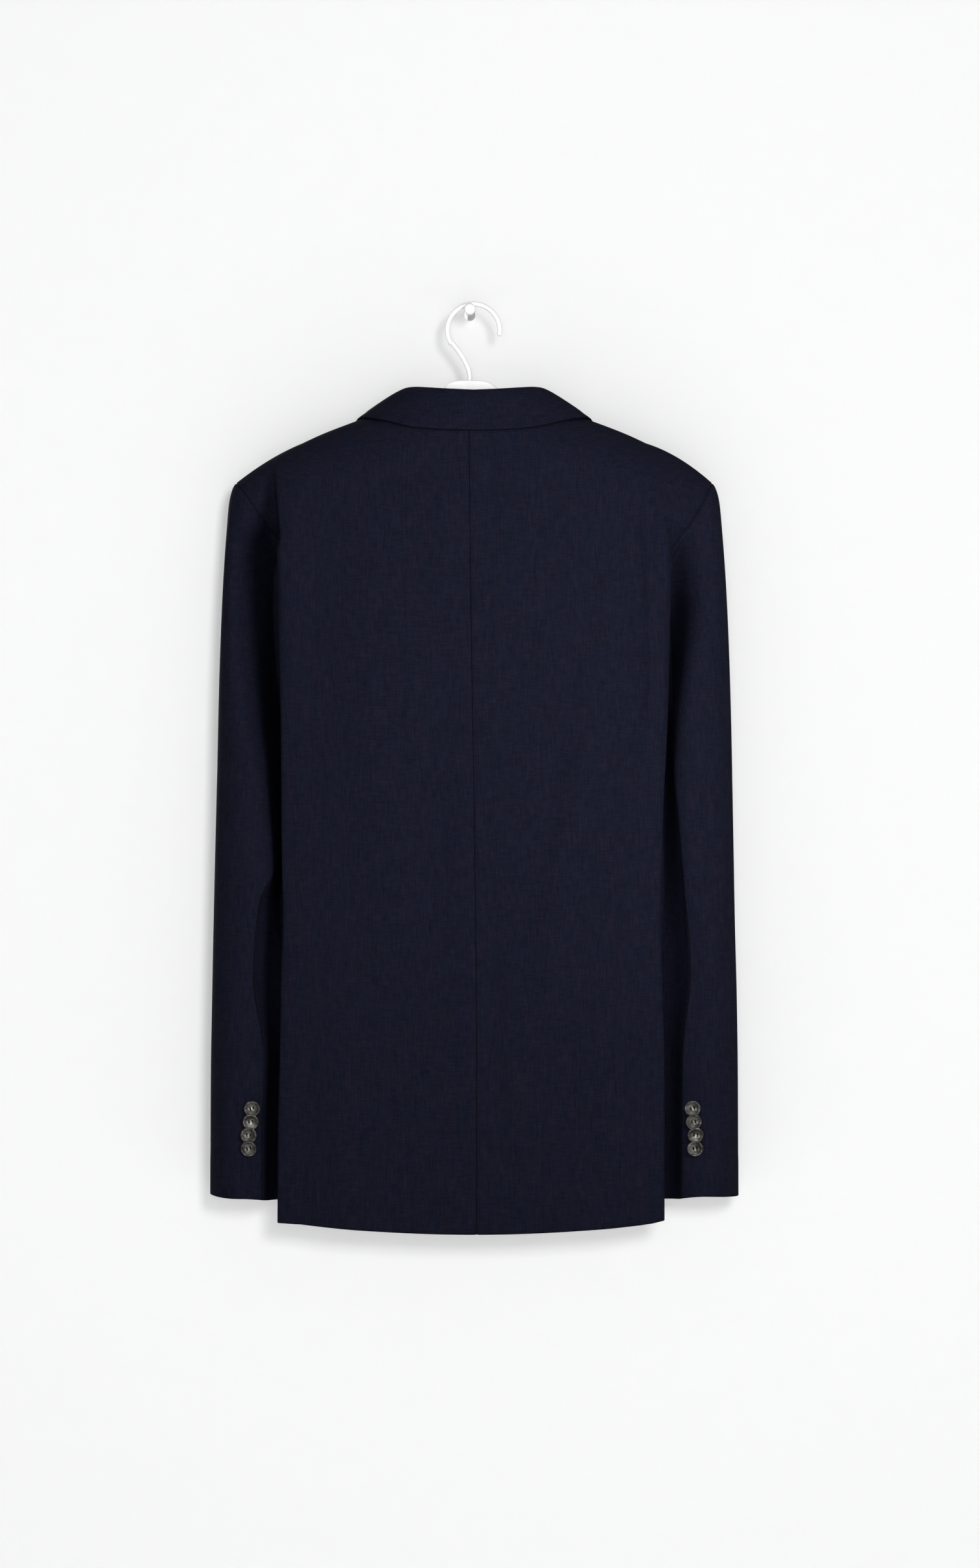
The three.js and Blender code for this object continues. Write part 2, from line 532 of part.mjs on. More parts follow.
// Hanger: two arms that follow the shoulders just under the cloth, and a hump at the neck.
const HANGER_T = 10;
const HANGER_GAP = 2.75;             // under the ridge; the flat facets of the cloth come closer
const HANGER_TIP_X = 174;
function hangerGeometry() {
  const armTop = (x) => ridgeZ(x) - CLOTH * 1.12 - HANGER_GAP;
  const outline = [];
  const right = [];
  const stations = [29, 45, 62, 80, 110, 142, 160, HANGER_TIP_X];
  stations.forEach((x) => right.push([x, x < NECK_HALF ? lerp(-78, -98, (x - 29) / 50) : armTop(x)]));
  const tipTop = right[right.length - 1][1];
  right.push([HANGER_TIP_X + 3, tipTop - 8]);
  right.push([HANGER_TIP_X - 4, tipTop - 17]);
  const under = [160, 142, 110, 80, 45, 18].map((x) => [x, armTop(x) - lerp(28, 17, x / HANGER_TIP_X)]);
  const hump = [[10, HUMP_TOP_Z], [19, HUMP_TOP_Z - 2], [24, HUMP_TOP_Z - 6]];
  hump.forEach(([x, z]) => outline.push(new THREE.Vector2(HUMP_X + x, z)));
  [...right, ...under].forEach(([x, z]) => outline.push(new THREE.Vector2(x, z)));
  [...under].reverse().forEach(([x, z]) => outline.push(new THREE.Vector2(-x, z)));
  [...right].reverse().forEach(([x, z]) => outline.push(new THREE.Vector2(-x, z)));
  [...hump].reverse().forEach(([x, z]) => outline.push(new THREE.Vector2(HUMP_X - x, z)));
  const shape = new THREE.Shape(outline);
  const solid = new THREE.ExtrudeGeometry(shape, { depth: HANGER_T, bevelEnabled: false });
  return closed(solid).rotateX(Math.PI / 2).translate(0, HANG_Y + HANGER_T / 2, 0);
}

// ---------------------------------------------------------------- the scene graph
const wool = () => new THREE.MeshStandardMaterial({ color: NAVY, roughness: 0.92, metalness: 0 });
const horn = () => new THREE.MeshStandardMaterial({ color: HORN, roughness: 0.3, metalness: 0 });
const white = () => new THREE.MeshStandardMaterial({ color: WHITE, roughness: 0.45, metalness: 0 });

function node(name, geometry, material) {
  const mesh = new THREE.Mesh(geometry, material);
  mesh.name = name;
  return mesh;
}

const blazer = new THREE.Group();
blazer.position.x = GARMENT_X;

for (const side of [-1, 1]) {
  const name = sideName(side);
  const back = inset((u, v) => panelPoint(side, -1, u, v), { u0: 240, u1: 100, v1: 90 });
  blazer.add(node(`back_${name}`, wall(back, 12, 20, side), wool()));

  const front = inset((u, v) => panelPoint(side, 1, u, v), { u1: 100, v1: 90 });
  blazer.add(node(`front_${name}`, wall(front, 12, 20, -side), wool()));

  const panel = inset((u, v) => sidePoint(side, u, v), { u0: 50, u1: 50 });
  blazer.add(node(`side_${name}`, wall(panel, 8, 10, side), wool()));

  const topSleeve = (u, t) => {
    const angle = lerp(INSEAM_ANGLE - 360 + SLEEVE_SEAM_ANGLE, elbowAngle(side, t) - SLEEVE_SEAM_ANGLE, u);
    return sleevePoint(side, (angle + 360) % 360, t);
  };
  blazer.add(node(`top_sleeve_${name}`, wall(topSleeve, 13, 16, -side), wool()));
  const underSleeve = (u, t) => {
    const angle = lerp(elbowAngle(side, t) + SLEEVE_SEAM_ANGLE, INSEAM_ANGLE - SLEEVE_SEAM_ANGLE, u);
    return sleevePoint(side, angle, t);
  };
  blazer.add(node(`under_sleeve_${name}`, wall(underSleeve, 7, 16, -side), wool()));

  const lapel = (u, v) => lapelPoint(side, u, side > 0 ? lerp(0.1, 1, v) : v);
  blazer.add(node(`lapel_${name}`, wall(lapel, 4, 12, -side), wool()));

  CUFF_BUTTONS.forEach((row, k) => {
    const button = node(`cuff_button_${name}_${k + 1}`, buttonGeometry(BUTTON_R, BUTTON_T), horn());
    const x = row[name];
    const stand = BUTTON_R * Math.sin(BUTTON_TILT) + (BUTTON_T / 2) * Math.cos(BUTTON_TILT) + BUTTON_STAND;
    button.position.set(side * x, sleeveY(side, x, row.z) - stand, row.z);
    button.rotation.x = Math.PI + BUTTON_TILT;
    blazer.add(button);
  });
}

blazer.add(node('collar', wall(collarPoint, 10, 36, 1), wool()));

FRONT_BUTTONS_Z.forEach((z, k) => {
  const button = node(`front_button_${k + 1}`, buttonGeometry(FRONT_BUTTON_R, FRONT_BUTTON_T), horn());
  button.position.set(0, panelY(0, z, 1) + LIFT + FRONT_BUTTON_T / 2, z);
  blazer.add(button);
});

const hanger = node('hanger', hangerGeometry(), white());
const hook = node('hook', hookGeometry(), white());
const peg = node('peg', pegGeometry(), white());

const group = new THREE.Group();
blazer.add(hanger);
group.add(blazer, hook, peg);
export default group;
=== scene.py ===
"""Looks of a man's single-breasted blazer on a plain hanger, hung by its hook from a wall peg.

The cloth pieces are closed walls on the same surfaces as their CAD solids, at a finer grid, with
their folds placed one by one. Shapes are worked out in millimetres in the blazer's own frame, whose
x is GARMENT_X less than the object's, and become metres where a mesh is made. A side is -1 for
the wearer's left and 1 for the right. A face is -1 for the back and 1 for the fronts.
"""
import math

import bmesh
import bpy
import numpy as np
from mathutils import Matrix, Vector


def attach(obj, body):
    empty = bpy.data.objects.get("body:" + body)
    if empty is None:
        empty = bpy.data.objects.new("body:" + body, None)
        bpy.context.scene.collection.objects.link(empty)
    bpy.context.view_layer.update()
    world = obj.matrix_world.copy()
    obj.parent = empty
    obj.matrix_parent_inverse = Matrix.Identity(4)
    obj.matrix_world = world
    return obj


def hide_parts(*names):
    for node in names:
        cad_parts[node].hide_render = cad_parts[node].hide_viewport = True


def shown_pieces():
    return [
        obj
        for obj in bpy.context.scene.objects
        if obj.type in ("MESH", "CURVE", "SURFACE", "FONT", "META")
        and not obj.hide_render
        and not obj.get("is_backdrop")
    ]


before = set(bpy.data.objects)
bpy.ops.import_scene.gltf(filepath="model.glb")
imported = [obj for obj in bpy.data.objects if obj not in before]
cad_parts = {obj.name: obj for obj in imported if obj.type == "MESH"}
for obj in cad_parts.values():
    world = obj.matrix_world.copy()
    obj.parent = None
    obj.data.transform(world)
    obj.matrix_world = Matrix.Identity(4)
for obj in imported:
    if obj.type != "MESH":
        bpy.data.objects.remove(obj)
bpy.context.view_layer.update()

# ---------- driving sizes, mm
CLOTH = 2.0                         # a wall's thickness
SEAM = 0.3                          # left between two pieces that are sewn together
LIFT, LAPEL_LIFT = 0.4, 1.1         # what lies on the cloth stands off it by this much
GARMENT_X = 4.2
HANG_Y = -55.0                      # the hanger's plane
BACK_DEPTH, FRONT_DEPTH, SIDE_LOSS = 48.0, 41.0, 5.0
PANEL_HALF = 160.0                  # half width of the flat stretch of back and front
SHOULDER_ROUND = 50.0
SHOULDER_BOW = {-1: 6.0, 1: 9.0}    # lifts the shoulder line on its way to the sleeve
NECK_HALF, NECK_BACK_Z, NECK_CURVE = 75.0, -108.5, 2.5
HEM_Z, FRONT_HEM_Z, HEM_RISE, HEM_HALF = -857.0, -855.0, 11.5, 180.0
FRONT_EDGE_IN = 12.0
UNDERLAP, UNDERLAP_END_X, UNDERLAP_END_Z = 3.2, (60, 24), (-340, -412)
CENTRE_LEAN = (2.4, -4.6)           # x of the centre back seam, at the hem and at the neck
CUFF_Z, CROOK_Z, SLEEVE_Y, SLEEVE_EGG = -825.0, -430.0, -52.0, 0.25
BUTTON_R, BUTTON_T, BUTTON_STAND = 7.5, 2.4, 0.5
BUTTON_TILT = math.radians(14.5)
FRONT_BUTTON_R, FRONT_BUTTON_T = 10.0, 3.0
WIRE_R, ARCH_R, ARCH_X = 2.25, 24.4, 3.5
PEG_LENGTH, PEG_GROOVE_R = 64.0, 2.6
HANGER_T, HANGER_GAP, HANGER_TIP_X, HANGER_EDGE = 10.0, 2.75, 174.0, 1.6
HUMP_TOP_Z = -66.0
SIDE_TOP_Z, ARMHOLE_SAG = -325.0, 43.0
UNDERARM_ANGLE, INSEAM_ANGLE = 143.0, 232.0
SIDES = {-1: "left", 1: "right"}

# ---------- tables, mm and degrees
# Each is read by its first column. L and R are the columns of the left and right side.
L, R = 1, 2
RIDGE = [  # x, z
    (0, -66), (40, -79), (75, -92), (110, -104), (142, -116.3), (172, -130.5), (191, -140),
    (207, -149.7), (221.5, -161.5), (232, -172),
]
EDGE = [  # z, left x, right x
    (-857, 181.8, 175.9), (-762, 181.2, 176), (-692, 179.5, 175.7), (-622, 178.4, 174),
    (-562, 176.6, 172.2), (-517, 177.7, 173.2), (-435, 178.2, 176), (-376, 178.4, 178.5),
    (-264, 179.2, 181.2), (-150, 183, 184),
]
BACK_SEAM = [  # z, left x, right x, y
    (-857, 163, 159, -84), (-560, 159, 156, -83), (-400, 155, 155, -81), (-325, 157, 157, -79),
    (-292, 163, 164, -79), (-250, 172, 174, -79.5), (-229, 177, 182, -80),
    (-214, 182.5, 191, -81.5), (-203, 190, 199, -82), (-185, 204, 210, -79),
    (-174, 212, 216, -74.5), (-166, 218, 219.5, -67), (-161.5, 221.5, 221.5, -55),
]
FRONT_SEAM = [  # z, left x, right x, y
    (-857, 160, 156, -24), (-560, 157, 154, -24), (-400, 153, 153, -26), (-325, 154, 154, -28),
    (-292, 158, 158, -28), (-240, 168, 168, -27), (-214, 180, 179.5, -26),
    (-190, 199, 197.6, -29), (-174, 211, 211, -36), (-166, 217.5, 217.5, -44),
    (-161.5, 221.5, 221.5, -55),
]
SIDE_MIDDLE = [  # z, left x, right x
    (-857, 158, 154), (-560, 152, 149), (-400, 146, 146), (-368, 147, 147),
]
FRONT_EDGE = [  # z, x
    (-858, 62), (-840, 34), (-810, 11), (-760, -8), (-700, -16), (-640, -18), (-500, -18),
    (-412, 0), (-300, 21.5), (-200, 41), (-132, 55), (-112, 61), (-98, 68), (-92, 75),
]
LAPEL = [  # row, z on the roll line, x and z of the outer edge
    (0, -494, -12, -488), (1, -450, 26, -440), (2, -395, 58, -380), (3, -330, 86, -312),
    (4, -265, 106, -248), (5, -205, 118, -196), (6, -165, 124, -170), (7, -134, 91, -161),
]
COLLAR = [  # row, neck seam x y z, crown x y z, crown's turn, loose edge x, its drop
    (0, 0, -99.5, -107.5, 0, -96, -77.7, -90, 0, 49.4),
    (1, 24, -97.5, -106.5, 22, -93.5, -76.6, -84, 30, 39.2),
    (2, 46, -92, -103, 42, -87, -74.9, -70, 56, 28),
    (3, 61, -82, -97, 55, -77, -73.6, -45, 80, 13.5),
    (4, 69, -69, -90, 61, -65, -73.3, -18, 97, 4.2),
    (5, 71.5, -55, -88, 62.5, -53, -75.5, 5, 106.5, 0),
    (6, 70, -40, -92, 62, -38, -83, 30, 112, 4),
    (7, 62.5, -27, -102, 57.5, -24, -98, 60, 115.5, 15),
    (8, 56.5, -20, -116, 52.5, -15.5, -114.5, 80, 113, 32),
    (9, 52.5, -18, -129.5, 50, -13, -131, 88, 90, 60),
]
SLEEVE = [  # z, left outer x, right outer x, inner x, half depth
    (-825, 246, 246.2, 170, 39), (-714, 245.6, 245.8, 167, 39), (-641, 244.4, 244.8, 164, 39),
    (-569, 243, 243, 161, 39), (-496, 241.3, 241.7, 157, 39), (-430, 239.6, 240.5, 153, 39),
    (-400, 238.6, 240, 151, 39),
]
ARMHOLE = [  # angle, z
    (0, -161.5), (22, -166), (45, -181), (70, -205), (95, -235), (120, -280), (143, -325),
]
ELBOW_SEAM = [  # z, left x, right x
    (-825, 196.5, 192.1), (-760, 196, 192.2), (-700, 193.8, 192.4), (-622, 201.8, 197.7),
    (-585, 200.6, 196.6), (-550, 197.4, 195), (-533, 189, 194), (-509, 180.5, 192),
    (-470, 175, 188.8), (-430, 172, 184.5),
]
CUFF_BUTTONS = [  # left x, right x, z
    (205.2, 201.8, -742), (206.4, 202.9, -754.3), (208.3, 204.7, -766.6), (208.2, 204.2, -778.9),
]
FRONT_BUTTONS_Z = (-518, -622)

# Where each sleeve falls away beside the back: z, depth of the hollow, its reach outwards.
HOLLOW = {
    -1: [(-150, 0, 8), (-160, 6, 9), (-180, 14, 13), (-200, 24, 22), (-220, 44, 33), (-250, 56, 33),
         (-320, 60, 30), (-380, 56, 23), (-425, 44, 15), (-475, 32, 10), (-510, 22, 7), (-560, 8, 6),
         (-600, 0, 6)],
    1: [(-200, 0, 12), (-225, 12, 18), (-250, 22, 20), (-285, 40, 19), (-325, 38, 13), (-360, 26, 10),
        (-400, 18, 8), (-450, 10, 8), (-520, 6, 8), (-600, 0, 8)],
}
FOLD_EDGE = {  # the edge of the back that laps over the sleeve: z, x
    -1: [(-150, 185.2), (-165, 184), (-190, 182), (-217, 180.4), (-260, 179.2), (-560, 177.5)],
    1: [(-200, 188), (-228, 183.5), (-260, 182), (-350, 180), (-560, 174.5)],
}

# Folds: soft ridges (height > 0) and troughs that run down a panel. Each is a list of rows
# (z, x, height, width towards -x, width towards +x), with x signed by the side of the blazer.
BACK_FOLDS = [
    # the drape that laps over the left armhole
    [(-132, -180, 0, 6, 20), (-156, -180, 1.2, 5, 22), (-185, -178, 2.2, 4, 24),
     (-225, -176, 2.4, 4, 24), (-270, -175, 1.6, 5, 24), (-330, -174, 0.7, 7, 24),
     (-400, -172, 0, 8, 24)],
    # ripples under the right armhole
    [(-150, 158, 0, 6, 7), (-190, 160, 1.0, 6, 8), (-270, 163, 1.3, 6, 8), (-350, 165, 0.9, 6, 8),
     (-440, 166, 0, 6, 8)],
    [(-185, 176, 0, 4, 5), (-225, 176, 1.2, 4, 5), (-300, 174, 1.2, 4, 5), (-380, 173, 0.6, 4, 5),
     (-450, 172, 0, 4, 5)],
    [(-170, 147, 0, 6, 7), (-240, 149, -0.6, 6, 8), (-330, 152, -0.7, 6, 8), (-420, 154, 0, 6, 8)],
    # the long light fold that runs in towards the waist
    [(-215, 138, 0, 15, 18), (-280, 127, 1.3, 16, 20), (-380, 108, 1.6, 16, 22),
     (-480, 89, 1.6, 16, 22), (-590, 69, 1.1, 16, 22), (-700, 56, 0, 16, 22)],
    [(-300, 154, 0, 12, 12), (-400, 140, -0.8, 12, 12), (-520, 120, -0.9, 13, 12),
     (-640, 100, 0, 13, 12)],
    # the hollow beside the centre seam, and its echo on the left
    [(-520, 16, 0, 12, 10), (-620, 18, -0.9, 13, 10), (-720, 21, -1.1, 15, 11),
     (-800, 25, -0.5, 15, 11), (-850, 26, 0, 15, 11)],
    [(-300, -26, 0, 22, 14), (-420, -32, -0.8, 26, 16), (-560, -36, -0.8, 26, 16),
     (-680, -36, 0, 26, 16)],
    # soft drape from the left shoulder blade
    [(-190, -92, 0, 26, 30), (-290, -98, 1.1, 28, 30), (-420, -90, 1.1, 28, 30),
     (-560, -78, 0, 28, 30)],
    # fall of the skirt at the left
    [(-560, -128, 0, 22, 24), (-680, -124, 1.0, 24, 26), (-800, -120, 1.2, 24, 26),
     (-857, -118, 1.2, 24, 26)],
    [(-600, 118, 0, 18, 20), (-720, 122, 0.8, 20, 20), (-857, 124, 1.0, 20, 20)],
    # fullness under the collar, both sides of the seam
    [(-160, -24, 0, 12, 10), (-185, -27, 0.6, 14, 12), (-240, -32, 0, 14, 12)],
    [(-120, 14, -0.3, 10, 8), (-165, 16, -0.4, 10, 8), (-240, 18, 0, 10, 8)],
]
# Vent facings and a little rumple press through the skirt: sharp, low steps.
BACK_MARKS = [
    [(-800, -147.4, 0, 0.9, 3), (-810, -147.2, 0.25, 0.9, 3), (-832, -147, 0.25, 0.9, 3),
     (-842, -147, 0, 0.9, 3)],
    [(-655, 142, 0, 3, 0.9), (-680, 142, 0.28, 3, 0.9), (-760, 142.4, 0.3, 3, 0.9),
     (-838, 143, 0.3, 3, 0.9), (-848, 143, 0, 3, 0.9)],
    [(-628, 168, 0, 6, 4), (-641, 171, 0.9, 5, 4), (-650, 173, -0.5, 5, 4), (-664, 172, 0, 6, 4)],
]
FRONT_FOLDS = [
    [(-200, -128, 0, 16, 18), (-290, -122, 1.4, 18, 22), (-400, -108, 1.6, 18, 22),
     (-520, -88, 1.1, 18, 22), (-640, -74, 0, 18, 22)],
    [(-210, 130, 0, 16, 18), (-300, 124, 1.2, 18, 22), (-400, 112, 1.5, 18, 22),
     (-520, 94, 0.9, 18, 22), (-640, 80, 0, 18, 22)],
    [(-150, -160, 0, 6, 20), (-200, -166, 2.0, 6, 24), (-270, -162, 1.6, 7, 24),
     (-380, -156, 0, 8, 24)],
    [(-150, 160, 0, 20, 6), (-210, 165, 1.7, 24, 6), (-280, 161, 1.3, 24, 7), (-380, 155, 0, 24, 8)],
    [(-540, -60, 0, 20, 18), (-660, -70, 1.2, 22, 20), (-780, -76, 1.6, 22, 20),
     (-857, -78, 1.6, 22, 20)],
    [(-540, 64, 0, 20, 18), (-660, 72, 1.3, 22, 20), (-780, 80, 1.7, 22, 20), (-857, 82, 1.7, 22, 20)],
    [(-560, -28, 0, 10, 12), (-640, -34, -0.8, 11, 12), (-760, -46, -0.9, 12, 12),
     (-840, -56, 0, 12, 12)],
    [(-560, 30, 0, 10, 12), (-640, 36, -0.8, 11, 12), (-760, 48, -0.9, 12, 12), (-840, 58, 0, 12, 12)],
]
# Folds of a sleeve by angle: (z, angle, height, width towards 0, width towards 180).
SLEEVE_FOLDS = {
    -1: [
        [(-190, 60, 0, 14, 12), (-235, 62, -1.8, 15, 12), (-300, 66, -1.3, 15, 12),
         (-380, 70, 0, 15, 12)],
        [(-180, 92, 0, 10, 12), (-240, 88, 1.4, 12, 12), (-330, 86, 1.1, 12, 12),
         (-430, 84, 0, 12, 12)],
        [(-470, 92, 0, 10, 10), (-520, 88, 1.4, 10, 11), (-560, 80, 1.4, 10, 11),
         (-620, 70, 0, 10, 11)],
        [(-520, 108, 0, 10, 12), (-575, 100, -1.4, 10, 12), (-625, 94, -1.0, 10, 12),
         (-690, 92, 0, 10, 12)],
        [(-600, 60, 0, 16, 14), (-680, 58, 0.9, 16, 14), (-800, 58, 0.7, 16, 14),
         (-825, 58, 0.7, 16, 14)],
    ],
    1: [
        [(-180, 38, 0, 3, 3), (-190, 40, 0.9, 3, 4), (-204, 47, 0.8, 3, 4), (-216, 52, 0, 4, 4)],
        [(-190, 58, 0, 14, 12), (-240, 60, -1.6, 15, 12), (-310, 64, -1.2, 15, 12),
         (-390, 68, 0, 15, 12)],
        [(-180, 90, 0, 10, 12), (-250, 86, 1.3, 12, 12), (-340, 84, 1.0, 12, 12),
         (-440, 82, 0, 12, 12)],
        [(-430, 94, 0, 10, 10), (-490, 90, 1.2, 10, 11), (-540, 84, 1.3, 10, 11),
         (-600, 74, 0, 10, 11)],
        [(-540, 106, 0, 10, 12), (-600, 98, -1.4, 10, 12), (-650, 92, -1.0, 10, 12),
         (-700, 92, 0, 10, 12)],
        [(-600, 56, 0, 16, 14), (-690, 55, 0.9, 16, 14), (-800, 56, 0.7, 16, 14),
         (-825, 56, 0.7, 16, 14)],
    ],
}
SLEEVE_FRONT_FOLDS = [  # the same on the side towards the wall, at angles from 180 to 360
    [(-200, 300, 0, 14, 14), (-260, 298, -1.6, 15, 14), (-340, 294, 0, 15, 14)],
    [(-460, 285, 0, 12, 12), (-520, 290, 1.5, 12, 12), (-570, 298, 1.3, 12, 12),
     (-640, 306, 0, 12, 12)],
    [(-500, 262, 0, 12, 12), (-560, 268, -1.6, 12, 12), (-620, 276, -1.1, 12, 12),
     (-700, 282, 0, 12, 12)],
]


# ---------- numbers
def lerp(a, b, t):
    return a + (b - a) * t


def smoothstep(x, a, b):
    """From 0 at a to 1 at b. With b below a it is 1 before b and 0 after a."""
    t = np.clip((x - a) / (b - a), 0.0, 1.0)
    return t * t * (3 - 2 * t)


def hump(distance, width):
    return np.exp(-((distance / width) ** 2))


def read(table, column, value):
    """A column at a value of the first one: a smooth curve through the rows."""
    rows = np.array(sorted(table), dtype=float)
    key, col = rows[:, 0], rows[:, column]
    width = np.diff(key)
    rise = np.diff(col) / width
    slope = np.concatenate([rise[:1], np.zeros(len(key) - 2), rise[-1:]])
    before, after = rise[:-1], rise[1:]
    same = before * after > 0
    slope[1:-1] = np.where(same, 2 * before * after / np.where(same, before + after, 1), 0)
    v = np.clip(value, key[0], key[-1])
    i = np.clip(np.searchsorted(key, v, side="right") - 1, 0, len(key) - 2)
    t = (v - key[i]) / width[i]
    t2, t3 = t * t, t * t * t
    return (
        (2 * t3 - 3 * t2 + 1) * col[i] + (t3 - 2 * t2 + t) * width[i] * slope[i]
        + (3 * t2 - 2 * t3) * col[i + 1] + (t3 - t2) * width[i] * slope[i + 1]
    )


def own(table, side, value):
    """A side's own column of a table that has one for the left and one for the right."""
    return read(table, L if side < 0 else R, value)


def pts(x, y, z):
    return np.stack(np.broadcast_arrays(x, y, z), axis=-1).astype(float)


def quadratic(p, k, q, t):
    t = np.asarray(t)[..., None]
    return p * (1 - t) ** 2 + k * 2 * t * (1 - t) + q * t ** 2


def cubic(p, a, b, q, t):
    t = np.asarray(t)[..., None]
    s = 1 - t
    return p * s ** 3 + a * 3 * s * s * t + b * 3 * s * t * t + q * t ** 3


def unit(v):
    return v / np.maximum(np.linalg.norm(v, axis=-1, keepdims=True), 1e-12)


def relief(folds, along, across):
    """Sum of folds at a height (along) and a place across them."""
    total = np.zeros(np.broadcast(along, across).shape)
    for rows in folds:
        centre, height, before, after = (read(rows, c, along) for c in (1, 2, 3, 4))
        d = across - centre
        total += height * hump(d, np.where(d < 0, before, after))
    return total


# ---------- body surfaces, mm
ROUND_SHARE = 0.8                   # above this share of v a panel rounds over the shoulder
FLAT_SHARE = 0.66                   # above this share of u it turns to its outer seam
ROW_ROUNDS, ROW_EASE = 12, 0.8      # steps that find where a row meets an edge
TURN_BELLY, BELLY_END = 4, (1, 0.86)
BOW_START = (0.82, 0.98)
WRAP_START = (-185, -240)           # below the armhole the turn wraps round the side


def ridge_z(x):
    return read(RIDGE, 1, np.abs(x))


def panel_y(x, z, face):
    below = np.clip((ridge_z(x) - z) / SHOULDER_ROUND, 0, 1)
    depth = (BACK_DEPTH if face < 0 else FRONT_DEPTH) - SIDE_LOSS * (x / PANEL_HALF) ** 2
    return HANG_Y + face * depth * np.sqrt(1 - (1 - below) ** 2)


def flat_y(x, z, face, side):
    """The right front passes under the left one where they close."""
    y = panel_y(x, z, face)
    if face > 0 and side > 0:
        y = y - UNDERLAP * smoothstep(x, *UNDERLAP_END_X) * smoothstep(z, *UNDERLAP_END_Z)
    return y


def neck_z(x):
    share = (np.abs(x) / NECK_HALF) ** NECK_CURVE
    return np.where(share < 1, lerp(NECK_BACK_Z, ridge_z(NECK_HALF), share), ridge_z(x))


def hem_z(x, middle=HEM_Z):
    return middle + HEM_RISE * (x / HEM_HALF) ** 2


def front_hem_z(x):
    return hem_z(x, FRONT_HEM_Z)


def row_z(x, v, bottom, top):
    angle = (math.pi / 2) * (1 - v) / (1 - ROUND_SHARE)
    high = top(x) - SHOULDER_ROUND * (1 - np.cos(np.clip(angle, 0, math.pi / 2)))
    low = lerp(bottom(x), top(x) - SHOULDER_ROUND, v / ROUND_SHARE)
    return np.where(v >= ROUND_SHARE, high, low)


def on_row(edge, v, bottom, top):
    """Where row v meets an edge that is given as x by z."""
    x = np.full(np.shape(v), PANEL_HALF)
    for _ in range(ROW_ROUNDS):
        x = lerp(x, edge(row_z(x, v, bottom, top)), ROW_EASE)
    return x, row_z(x, v, bottom, top)


def centre_back_x(v):
    return lerp(*CENTRE_LEAN, smoothstep(v, 0.15, 0.9))


def panel_point(side, face, u, v):
    """The flat stretch of a back or front, then the turn to its outer seam."""
    seam = BACK_SEAM if face < 0 else FRONT_SEAM
    bottom, top = (hem_z, neck_z) if face < 0 else (front_hem_z, ridge_z)
    if face < 0:
        start = centre_back_x(v) * side
    else:
        start = on_row(lambda z: read(FRONT_EDGE, 1, z), v, bottom, top)[0]
    x = lerp(start, PANEL_HALF, np.minimum(u / FLAT_SHARE, 1))
    z = row_z(x, v, bottom, top)
    flat = pts(side * x, flat_y(x, z, face, side), z)
    end_x, end_z = on_row(lambda z: own(seam, side, z), v, bottom, top)
    end_y = read(seam, 3, end_z)
    z0 = row_z(PANEL_HALF, v, bottom, top)
    y0 = flat_y(PANEL_HALF, z0, face, side)
    slope = y0 - flat_y(PANEL_HALF - 1, z0, face, side)
    edge = own(EDGE, side, end_z) - (0 if face < 0 else FRONT_EDGE_IN)
    wrapped = smoothstep(end_z, *WRAP_START)
    mid_x = (PANEL_HALF + end_x) / 2
    kx = lerp(mid_x, 2 * edge - mid_x, wrapped)
    belly = face * TURN_BELLY * smoothstep(v, *BELLY_END)
    ky = lerp((y0 + end_y) / 2 + belly, y0 + slope * (kx - PANEL_HALF), wrapped)
    kz = (z0 + end_z) / 2 + SHOULDER_BOW[side] * smoothstep(v, *BOW_START)
    t = np.clip((u - FLAT_SHARE) / (1 - FLAT_SHARE), 0, 1)
    turn = quadratic(pts(PANEL_HALF, y0, z0), pts(kx, ky, kz), pts(end_x, end_y, end_z), t)
    turn[..., 0] *= side
    return np.where((u <= FLAT_SHARE)[..., None], flat, turn)


def side_point(side, m, v):
    z = lerp(hem_z(PANEL_HALF), SIDE_TOP_Z - ARMHOLE_SAG * np.sin(math.pi * m), v)
    p, q = (pts(own(seam, side, z), read(seam, 3, z), z) for seam in (BACK_SEAM, FRONT_SEAM))
    k = (p + q) / 2
    k[..., 0] = 2 * own(SIDE_MIDDLE, side, z) - k[..., 0]
    point = quadratic(p, k, q, m)
    point[..., 0] *= side
    return point


# ---------- sleeve surfaces, mm
CROOK_SHARE = 0.6                   # below this share of t a sleeve is straight
HEAD_GAP, UNDERARM_GAP = 0.25, 1.2  # between sleeve and body at the armhole
LEAN = 0.8                          # how far a sleeve head leans in towards the body
HEAD_PULL, UNDERARM_PULL = 14, 34
FOLD_START, CLEFT_END = (-1.6, 0.8), (-226, -208)


def armhole_point(side, angle):
    a = np.where(angle <= 180, angle, 360 - angle)
    z = read(ARMHOLE, 1, a)
    back, front = (pts(side * own(t, side, z), read(t, 3, z), z) for t in (BACK_SEAM, FRONT_SEAM))
    seam = np.where((angle <= 180)[..., None], back, front)
    half = np.clip((a - UNDERARM_ANGLE) / (180 - UNDERARM_ANGLE) / 2, 0, 0.5)
    under = side_point(side, np.where(angle <= 180, half, 1 - half), np.ones(np.shape(angle)))
    return np.where((a > UNDERARM_ANGLE)[..., None], under, seam)


def sleeve_angle(side, x, z):
    outer, inner = own(SLEEVE, side, z), read(SLEEVE, 3, z)
    share = (x - (outer + inner) / 2) / ((outer - inner) / 2)
    return np.degrees(np.arccos(np.clip(share, -0.9, 0.9)))


